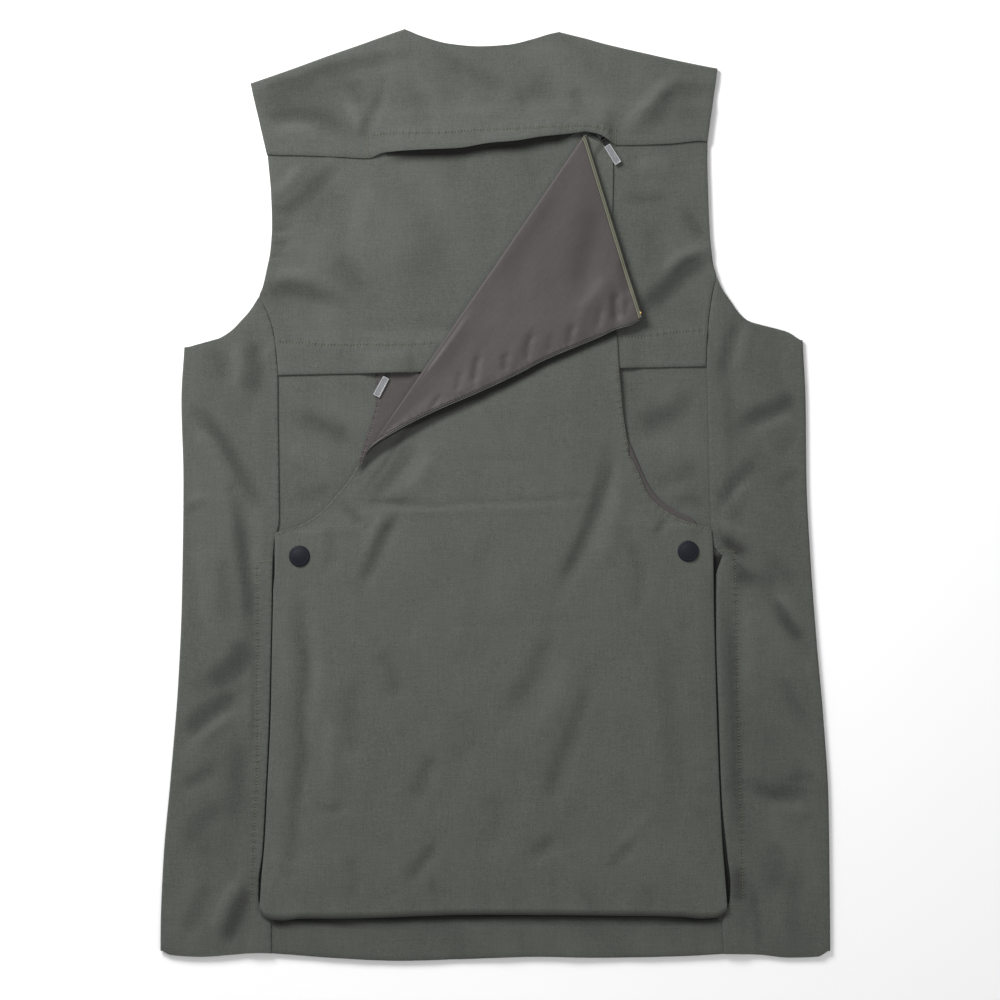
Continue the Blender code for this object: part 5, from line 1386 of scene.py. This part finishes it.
def rounded_copy(node, finish, width=0.12, segments=2):
    """Copy of a hard CAD piece with its edges rounded."""
    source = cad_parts[node]
    mesh = source.data.copy()
    mesh.transform(source.matrix_world)
    form = bmesh.new()
    form.from_mesh(mesh)
    bmesh.ops.remove_doubles(form, verts=form.verts, dist=1e-6)
    bmesh.ops.dissolve_limit(form, angle_limit=math.radians(1.5), verts=form.verts,
                             edges=form.edges)
    form.to_mesh(mesh)
    form.free()
    mesh.materials.clear()
    mesh.materials.append(finish)
    for face in mesh.polygons:
        face.material_index = 0
    mesh.shade_smooth()
    piece = linked(node + "_finished", mesh)
    bevel = piece.modifiers.new("rounded", "BEVEL")
    bevel.width = width * MM
    bevel.segments = segments
    bevel.limit_method = "ANGLE"
    bevel.angle_limit = math.radians(30)
    bevel.harden_normals = True
    pieces[node] = piece
    return piece


def plate_outline(top, foot, start, end, inset, corner):
    """Points round a tapered plate with rounded corners, drawn in from its outline."""
    points = []
    for x, y, first in ((foot, end, -90.0), (top, start, 0.0), (-top, start, 90.0),
                        (-foot, end, 180.0)):
        centre = (x - math.copysign(inset + corner, x),
                  y + math.copysign(inset + corner, (start + end) / 2.0 - y))
        for step in range(5):
            angle = math.radians(first + 22.5 * step)
            points.append((centre[0] + corner * math.cos(angle),
                           centre[1] + corner * math.sin(angle)))
    return points


def ring_stack(form, rings, crown_index):
    """Closed body through rings of equal count, foot to crown; the crown has its own finish."""
    rows = [[form.verts.new(Vector(point) * MM) for point in ring] for ring in rings]
    count = len(rows[0])
    form.faces.new(rows[0][::-1])
    for lower, upper in zip(rows, rows[1:]):
        for place in range(count):
            after = (place + 1) % count
            form.faces.new((lower[place], lower[after], upper[after], upper[place]))
    form.faces.new(rows[-1]).material_index = crown_index


def zip_pull(node, pin, turn, bright, recessed, dark):
    """Oblong plate with a raised rim round a plain sunk face, a thin neck, and a ring."""
    low, high = -EYE_RADIUS, 0.1
    top, foot = PULL_TOP_WIDTH / 2, PULL_FOOT_WIDTH / 2
    start, end = -PULL_SHOULDER, -PULL_SHOULDER - PULL_LENGTH
    form = bmesh.new()
    steps = ((0.12, low, 0.5), (0.0, low + 0.12, 0.6), (0.0, high - 0.15, 0.6),
             (0.15, high, 0.5), (0.75, high, 0.25), (0.9, high - PULL_RECESS, 0.15))
    ring_stack(form, [[(x, y, z) for x, y in plate_outline(top, foot, start, end, inset, corner)]
                      for inset, z, corner in steps], 1)
    plate_faces = len(form.faces)
    neck = [(0.8, start + 0.3), (0.8, -1.0), (-0.8, -1.0), (-0.8, start + 0.3)]
    ring_stack(form, [[(x, y, z) for x, y in neck] for z in (low + 0.3, high - 0.3)], 2)
    turns = np.linspace(0.0, 2.0 * math.pi, 17)[:-1]
    for turn_at in turns:
        after = turn_at + turns[1]
        for tube in range(8):
            spots = []
            for around, side in ((turn_at, tube), (turn_at, tube + 1), (after, tube + 1),
                                 (after, tube)):
                swell = 1.05 + 0.35 * math.cos(side * math.pi / 4)
                spots.append(form.verts.new(Vector((0.35 * math.sin(side * math.pi / 4),
                                                    swell * math.cos(around),
                                                    swell * math.sin(around))) * MM))
            form.faces.new(spots)
    form.faces.ensure_lookup_table()
    for face in form.faces[plate_faces:]:
        face.material_index = 2
    bmesh.ops.remove_doubles(form, verts=form.verts, dist=1e-6)
    bmesh.ops.recalc_face_normals(form, faces=form.faces)
    bmesh.ops.rotate(form, verts=form.verts, matrix=Matrix.Rotation(math.radians(turn), 3, "Z"))
    bmesh.ops.translate(form, verts=form.verts, vec=Vector((pin.x, pin.y, PIN_HEIGHT)) * MM)
    mesh = bpy.data.meshes.new(node + "_finished")
    form.to_mesh(mesh)
    form.free()
    for finish in (bright, recessed, dark):
        mesh.materials.append(finish)
    mesh.shade_smooth()
    mesh.set_sharp_from_angle(angle=math.radians(30))
    piece = linked(node + "_finished", mesh)
    pieces[node] = piece
    return piece


def snap_cap(name, finish):
    """Domed cap turned about its own axis, with a low ring near its rim."""
    spot = SNAP_SPOTS[name]
    sides = 72
    base = OVER_LAP + CLOTH + GAP
    form = bmesh.new()
    centre = form.verts.new(Vector((spot.x, spot.y, base + SNAP_PROFILE[0][1])) * MM)
    profile = refine(SNAP_PROFILE[1:], 0.35)
    rings = [[form.verts.new(Vector((
        spot.x + radius * math.cos(2.0 * math.pi * side / sides),
        spot.y + radius * math.sin(2.0 * math.pi * side / sides), base + height)) * MM)
        for side in range(sides)] for radius, height in profile]
    for side in range(sides):
        after = (side + 1) % sides
        form.faces.new((centre, rings[0][side], rings[0][after]))
        for inner, outer in zip(rings, rings[1:]):
            form.faces.new((inner[side], outer[side], outer[after], inner[after]))
    form.faces.new(rings[-1][::-1])
    bmesh.ops.recalc_face_normals(form, faces=form.faces)
    mesh = bpy.data.meshes.new(name + "_finished")
    form.to_mesh(mesh)
    form.free()
    mesh.shade_smooth()
    mesh.set_sharp_from_angle(angle=math.radians(50))
    mesh.materials.append(finish)
    piece = linked(name + "_finished", mesh)
    pieces[name] = piece
    return piece


# Finishes

class Value:
    """A shader socket; arithmetic on it adds Math nodes."""

    def __init__(self, finish, socket):
        self.finish, self.socket = finish, socket

    def math(self, operation, first, second=0.0):
        return self.finish.node("ShaderNodeMath", {0: first, 1: second},
                                {"operation": operation})

    def __add__(self, other):
        return self.math("ADD", self, other)

    def __sub__(self, other):
        return self.math("SUBTRACT", self, other)

    def __rsub__(self, other):
        return self.math("SUBTRACT", other, self)

    def __mul__(self, other):
        return self.math("MULTIPLY", self, other)

    def __truediv__(self, other):
        return self.math("DIVIDE", self, other)

    __radd__ = __add__
    __rmul__ = __mul__

    def sine(self):
        return self.math("SINE", self)

    def absolute(self):
        return self.math("ABSOLUTE", self)

    def clamp(self, low=0.0, high=1.0):
        return self.math("MINIMUM", self.math("MAXIMUM", self, low), high)


class Finish:
    """One material and the nodes that vary it."""

    def __init__(self, name, roughness, metallic=0.0, **constants):
        self.material = bpy.data.materials.new(name)
        self.material.use_nodes = True
        self.tree = self.material.node_tree
        self.shader = self.tree.nodes["Principled BSDF"]
        self.shader.inputs["Metallic"].default_value = metallic
        self.shader.inputs["Roughness"].default_value = roughness
        for key, value in constants.items():
            self.shader.inputs[key.replace("_", " ")].default_value = value
        place = self.tree.nodes.new("ShaderNodeTexCoord").outputs["Object"]
        self.place = Value(self, place)

    def node(self, kind, inputs=None, settings=None, output=0):
        """Any node: its settings first, then the values or links of its sockets."""
        made = self.tree.nodes.new(kind)
        for key, value in (settings or {}).items():
            if key == "stops":
                for stop, (where, colour) in zip(made.color_ramp.elements, value):
                    stop.position, stop.color = where, colour
            else:
                setattr(made, key, value)
        for key, value in (inputs or {}).items():
            if isinstance(value, Value):
                self.tree.links.new(value.socket, made.inputs[key])
            else:
                made.inputs[key].default_value = value
        return Value(self, made.outputs[output])

    def turned(self, turn):
        """Object coordinates turned about Z."""
        return self.node("ShaderNodeMapping", {"Vector": self.place,
                                               "Rotation": (0.0, 0.0, turn)})

    def noise(self, across, up, detail=2.0, place=None):
        """Noise from -1 to 1, with a size in millimetres across and up the cloth."""
        scaled = self.node("ShaderNodeVectorMath",
                           {0: place or self.place, 1: (1.0 / (across * MM), 1.0 / (up * MM),
                                                        1.0 / (across * MM))},
                           {"operation": "MULTIPLY"})
        value = self.node("ShaderNodeTexNoise", {"Vector": scaled, "Scale": 1.0,
                                                 "Detail": detail, "Roughness": 0.55})
        return value * 2.0 - 1.0

    def carried(self, name, output=2):
        """Number, or with output 1 the vector, that the cloth carries at its points."""
        return self.node("ShaderNodeAttribute", settings={"attribute_name": name},
                         output=output)

    def axes(self, place=None):
        split = self.tree.nodes.new("ShaderNodeSeparateXYZ")
        self.tree.links.new((place or self.place).socket, split.inputs[0])
        return [Value(self, output) for output in split.outputs]

    def colour(self, base, shade):
        """Base colour, lightened or darkened by a varying share."""
        product = self.node("ShaderNodeVectorMath", {0: base, "Scale": shade},
                            {"operation": "SCALE"})
        self.tree.links.new(product.socket, self.shader.inputs["Base Color"])

    def rough(self, value):
        self.tree.links.new(value.socket, self.shader.inputs["Roughness"])

    def bump(self, height, strength, distance):
        bumped = self.node("ShaderNodeBump", {"Height": height, "Strength": strength,
                                              "Distance": distance * MM}, output=0)
        self.tree.links.new(bumped.socket, self.shader.inputs["Normal"])


FOLD_RANGE = (-2.0, 0.6)         # relief that still paints shade into the cloth's troughs and light onto its ridges
DEEPEST = 0.93                   # colour that the painted shade takes away where the cloth lies wholly in the dark


def sewn_marks(finish, count):
    """Groove along each sewn line, and the puckers that its stitches pull up."""
    groove, pucker = 0.0, 0.0
    for place in range(count):
        across, passed, within = finish.axes(finish.carried(f"sewn_{place}", 1))
        near = across.absolute()
        groove = groove + (1.0 - near / 0.8).clamp() * within
        wave = (passed * (2.0 * math.pi / 7.4) + (passed * 0.19).sine() * 1.8).sine()
        tight = (passed * (2.0 * math.pi / 2.7)).sine()
        spread = (1.0 - near / 6.5).clamp()
        pucker = pucker + (wave * 0.85 + tight * 0.15) * spread * spread * within
    return groove, pucker


def twill(name, colour, turn=0.0, streaks=0.17, painted_trough_shade=0.16):
    """Olive cotton cloth: slubs along the warp, finer ones across, a fine diagonal rib, and
    painted shade and light from its creases, sewing and dark places.
    """
    finish = Finish(name, 0.86, Sheen_Weight=0.12, Sheen_Roughness=0.5,
                    Specular_IOR_Level=0.22)
    place = finish.turned(turn)
    warp = finish.noise(1.0, 16.0, 3.0, place)
    weft = finish.noise(13.0, 1.0, 2.0, place)
    cloud = finish.noise(17.0, 26.0, 3.0, place)
    grit = finish.noise(0.9, 0.9, 1.0, place)
    x, y, _ = finish.axes(place)
    rib = ((x + y) * (2.0 * math.pi / (1.15 * MM))).sine()
    folded = finish.carried("fold").clamp(*FOLD_RANGE)
    groove, pucker = sewn_marks(finish, 3)
    dark = finish.carried("shade")
    # folded paints shade into troughs and light onto ridges, pucker paints light and shade on the
    # puckers, groove paints shade in the stitch grooves, and dark is painted shade
    shade = (1.0 + warp * streaks + weft * (streaks * 0.8) + cloud * 0.12 + grit * 0.40
             + rib * 0.014 + folded * painted_trough_shade + pucker * 0.06 - groove * 0.46)
    finish.colour(colour, shade * (1.0 - dark * DEEPEST))
    finish.rough((0.88 + cloud * 0.05 + warp * 0.03).clamp(0.6, 1.0))
    finish.bump(rib * 0.12 + warp * 0.15 + weft * 0.10 + grit * 0.12 + pucker * 1.0
                - groove * 0.8, 0.6, 0.45)
    return finish.material


def proofed(name, colour, turn):
    """Brown proofed lining: close plain weave with a dull shine and fine creases."""
    finish = Finish(name, 0.58, Specular_IOR_Level=0.35, Sheen_Weight=0.08)
    place = finish.turned(turn)
    fine = finish.noise(1.1, 9.0, 2.0, place)
    cross = finish.noise(9.0, 1.1, 2.0, place)
    cloud = finish.noise(20.0, 30.0, 3.0, place)
    folded = finish.carried("fold").clamp(*FOLD_RANGE)
    groove, pucker = sewn_marks(finish, 1)
    # folded, pucker and groove paint shade and light into the colour, as on the twill
    finish.colour(colour, 1.0 + fine * 0.14 + cross * 0.13 + cloud * 0.09 + folded * 0.10
                  + pucker * 0.04 - groove * 0.30)
    finish.rough((0.62 + cloud * 0.08).clamp(0.4, 0.8))
    finish.bump(fine * 0.15 + cross * 0.15 + cloud * 0.6 + pucker * 0.7 - groove * 0.8, 0.6, 0.45)
    return finish.material


def webbing(name, colour, turn):
    """Zip tape: fine ribs along its length, and the carried lines: two woven lines, and painted
    shade at its edges.
    """
    finish = Finish(name, 0.8)
    place = finish.turned(turn)
    x, y, _ = finish.axes(place)
    rib = (x * (2.0 * math.pi / (0.85 * MM))).sine()
    knit = (y * (2.0 * math.pi / (0.9 * MM))).sine()
    cloud = finish.noise(5.0, 5.0, 2.0, place)
    shade = 1.0 + rib * 0.12 + knit * 0.10 + cloud * 0.12
    # carried shade: the tape's woven lines, and painted shade at its edges
    finish.colour(colour, shade * (1.0 - finish.carried("shade")))
    finish.bump(rib + knit * 0.4, 0.5, 0.12)
    return finish.material


def thread(name, colour):
    finish = Finish(name, 0.7, Sheen_Weight=0.1)
    cloud = finish.noise(3.0, 3.0, 2.0)
    twist = finish.noise(0.25, 0.25, 1.0)
    finish.colour(colour, 1.0 + cloud * 0.16 + twist * 0.12)
    finish.bump(twist, 0.4, 0.05)
    return finish.material


def plated(name, colour):
    """Satin plating with faint brushing and handling marks."""
    finish = Finish(name, 0.3, 1.0)
    brushed = finish.noise(0.25, 6.0, 3.0, finish.turned(math.radians(32)))
    marks = finish.noise(1.6, 2.2, 4.0)
    finish.colour(colour, 1.0 + marks * 0.05 + brushed * 0.04)
    finish.rough((0.33 + marks * 0.09 + brushed * 0.06).clamp(0.16, 0.6))
    finish.bump(brushed + marks * 0.7, 0.25, 0.03)
    return finish.material


def lacquer(name, colour):
    """Dark lacquer over pressed metal, a little uneven, with a dull coat."""
    finish = Finish(name, 0.6, 0.0, Specular_IOR_Level=0.22)
    orange_peel = finish.noise(0.55, 0.55, 3.0)
    worn = finish.noise(3.2, 3.2, 3.0)
    finish.colour(colour, 1.0 + worn * 0.14 + orange_peel * 0.10)
    finish.rough((0.60 + worn * 0.08 + orange_peel * 0.05).clamp(0.4, 0.8))
    finish.bump(orange_peel, 0.35, 0.08)
    return finish.material


def floor_finish():
    finish = Finish("pale_floor", 0.75)
    cloud = finish.noise(120.0, 120.0, 2.0)
    finish.colour((0.93, 0.93, 0.93), 1.0 + cloud * 0.004)
    return finish.material


# Light and camera

def area_light(name, spot, target, width, height, power, colour=(1.0, 1.0, 1.0)):
    lamp = bpy.data.lights.new(name, "AREA")
    lamp.shape = "RECTANGLE"
    lamp.size, lamp.size_y = width, height
    lamp.energy = power
    lamp.color = colour
    stand = linked(name, lamp)
    stand.location = spot
    aim = Vector(target) - Vector(spot)
    stand.rotation_euler = aim.to_track_quat("-Z", "Y").to_euler()


def studio():
    scene = bpy.context.scene
    scene.view_settings.view_transform = "Standard"
    scene.view_settings.look = "None"
    area_light("key", (-0.80, 1.05, 0.95), (0.0, 0.0, 0.0), 0.7, 0.6, 34.0)
    area_light("fill", (0.6, -0.5, 1.8), (0.0, 0.0, 0.0), 1.6, 1.6, 7.0)
    world = bpy.data.worlds.new("studio")
    world.use_nodes = True
    world.node_tree.nodes["Background"].inputs["Color"].default_value = (1.0, 1.0, 1.0, 1.0)
    world.node_tree.nodes["Background"].inputs["Strength"].default_value = 0.45
    scene.world = world

    lens = bpy.data.cameras.new("overhead")
    lens.lens = 85.0
    lens.sensor_width = 36.0
    lens.clip_end = 20.0
    camera = linked("overhead", lens)
    camera.location = (VIEW_CENTRE.x * MM, VIEW_CENTRE.y * MM, VIEW_HEIGHT)
    scene.camera = camera

    mesh = bpy.data.meshes.new("floor")
    half, low = 6.0, -0.0003     # metres
    mesh.from_pydata([(-half, -half, low), (half, -half, low), (half, half, low),
                      (-half, half, low)], [], [(0, 1, 2, 3)])
    mesh.materials.append(floor_finish())
    floor = linked("floor", mesh)


VIEW_CENTRE = Point(3.9, -4.6)
VIEW_HEIGHT = 1.988

# Flat sizes in metres as cut, and what each sheet lies on
Sheet = namedtuple("Sheet", "node flat held rests_on slot area")
SHEETS = [Sheet(*s) for s in (
    ("front_left", (0.250, 0.745), "laid", [], "shell_cloth", None),
    ("front_right", (0.250, 0.745), "laid", ["front_left"], "shell_cloth", None),
    ("side_left", (0.155, 0.560), "folded", ["front_left"], "shell_cloth", None),
    ("side_right", (0.155, 0.560), "folded", ["front_right"], "shell_cloth", None),
    ("back_lower", (0.416, 0.513), "laid", ["front_left", "front_right"], "shell_cloth", None),
    ("back_upper", (0.385, 0.221), "laid", ["front_left", "front_right"], "shell_cloth", None),
    ("back_yoke", (0.393, 0.137), "folded", ["back_upper"], "shell_cloth", None),
    ("bag_back_lining", (0.365, 0.431), "laid", ["back_lower"], "lining_cloth", None),
    ("bag_front", (0.393, 0.700), "folded", ["bag_back_lining", "back_upper"], "bag_cloth", None),
    ("flap_lining", (0.214, 0.290), "folded", ["bag_front"], "lining_cloth", 0.026),
    ("zip_tape_back", (0.202, 0.016), "laid", ["back_lower"], "tape_dark", None),
    ("zip_tape_yoke", (0.184, 0.013), "laid", ["back_upper"], "tape_dark", None),
    ("zip_tape_flap", (0.162, 0.010), "laid", ["flap_lining"], "tape_olive", 0.00055))]


def dress():
    grain = math.radians(34.4)   # the turned corner's grain, mirrored in its fold
    olive = twill("olive_twill", (0.073, 0.077, 0.0685))
    olive_bag = twill("olive_twill_bag", (0.0765, 0.0805, 0.0712))
    brown = proofed("brown_proofed_lining", (0.053, 0.045, 0.045), 0.0)
    brown_turned = proofed("brown_proofed_lining_turned", (0.051, 0.0425, 0.0425), grain)
    light_tape = webbing("olive_tape", (0.090, 0.091, 0.062), math.radians(-16.7))
    dark_tape = webbing("dark_tape", (0.010, 0.009, 0.008), math.radians(90))
    olive_thread = thread("olive_thread", (0.160, 0.153, 0.104))
    bartack_thread = thread("olive_bartack_thread", (0.105, 0.100, 0.068))
    red_thread = thread("dark_red_thread", (0.030, 0.013, 0.013))
    nickel = plated("satin_nickel", (0.66, 0.665, 0.68))
    nickel_sunk = plated("satin_nickel_sunk", (0.36, 0.365, 0.385))
    dark_metal = plated("dark_metal", (0.045, 0.045, 0.048))
    brass = plated("orange_brass", (0.75, 0.45, 0.14))
    black = thread("black_coil", (0.012, 0.012, 0.013))
    navy = lacquer("navy_lacquer", (0.0048, 0.0062, 0.0115))

    front("front_left", FRONT_LEFT_ROWS, FRONT_LAP, 0.0, olive)
    front("front_right", FRONT_RIGHT_ROWS, -FRONT_LAP, LAYER, olive)
    side_panel("side_left", SEAM_LEFT, ARMHOLE_LEFT, EDGE_LEFT, FRONT_SEAM_LEFT, -1, olive)
    side_panel("side_right", SEAM_RIGHT, ARMHOLE_RIGHT, EDGE_RIGHT, FRONT_SEAM_RIGHT, 1, olive)
    upper_back("back_upper", olive)
    lower_back("back_lower", olive)
    back_yoke("back_yoke", olive)
    bag_lining("bag_back_lining", brown)
    bag_front("bag_front", olive_bag)
    flap_lining("flap_lining", brown_turned)
    flap_tape("zip_tape_flap", light_tape)
    straight_tape("zip_tape_back", [(x, TAPE_BACK_TOP) for x in TAPE_BACK_SIDES],
                  [(x, TAPE_BACK_FOOT) for x in TAPE_BACK_SIDES], dark_tape)
    # The yoke's dark tape reaches past the welt's free edge, as painted shadow of the gap under it
    foot = [(row.right_x, float(y_at(WELT_LINE, row.right_x)) - TAPE_SHADOW_DROP
             if row.right_x < TAPE_SHADOW_TO else row.right_y) for row in TAPE_YOKE_COLUMNS]
    straight_tape("zip_tape_yoke", [(row.left_x, row.left_y) for row in TAPE_YOKE_COLUMNS],
                  foot, dark_tape)
    for sheet in SHEETS:
        piece = pieces[sheet.node]
        piece.name = sheet.node + "_cloth"
        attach(piece, "vest")
        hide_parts(sheet.node)

    for node in ("zip_slider_upper", "zip_slider_lower"):
        piece = rounded_copy(node, dark_metal)
        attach(piece, "vest")
        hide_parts(node)
    for node, body, pin, turn in (
            ("zip_pull_upper", "pull_upper", PIN_UPPER, PULL_TURN_UPPER),
            ("zip_pull_lower", "pull_lower", PIN_LOWER, PULL_TURN_LOWER)):
        piece = zip_pull(node, pin, turn, nickel, nickel_sunk, dark_metal)
        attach(piece, body)
        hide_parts(node)
    for node in SNAP_SPOTS:
        piece = snap_cap(node, navy)
        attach(piece, "vest")
        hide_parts(node)

    seams = (
        ("welt_topstitch", TOPSTITCH, olive_thread, STITCH_LINES),
        ("bag_edge_stitch", EDGE_STITCH, olive_thread, [
            ("bag_front", BAG_LEFT_STITCH), ("bag_front", BAG_RIGHT_STITCH)]),
        ("bartacks", BARTACK, bartack_thread, BARTACK_LINES),
        ("lining_stitch", EDGE_STITCH, red_thread, [("bag_back_lining", LINING_STITCH)]),
        ("flap_edge_stitch", EDGE_STITCH, red_thread, [("flap_lining", FLAP_STITCH)]),
        ("corner_thread", CORNER_THREAD, olive_thread, [
            ("zip_tape_flap", [(121.2, 149.6), (120.4, 148.3)])]),
        ("corner_stop", CORNER_STOP, brass, [
            ("zip_tape_flap", [(121.4, 152.3), (121.6, 151.6)])]),
        ("yoke_zip_teeth", TEETH, black, [
            ("zip_tape_yoke", [(row.right_x, row.right_y + 1.3)
                               for row in TAPE_YOKE_COLUMNS])]),
    )
    for name, sewing, finish, lines in seams:
        piece = bead_row(name, lines, sewing, finish)
        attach(piece, "vest")


studio()
dress()
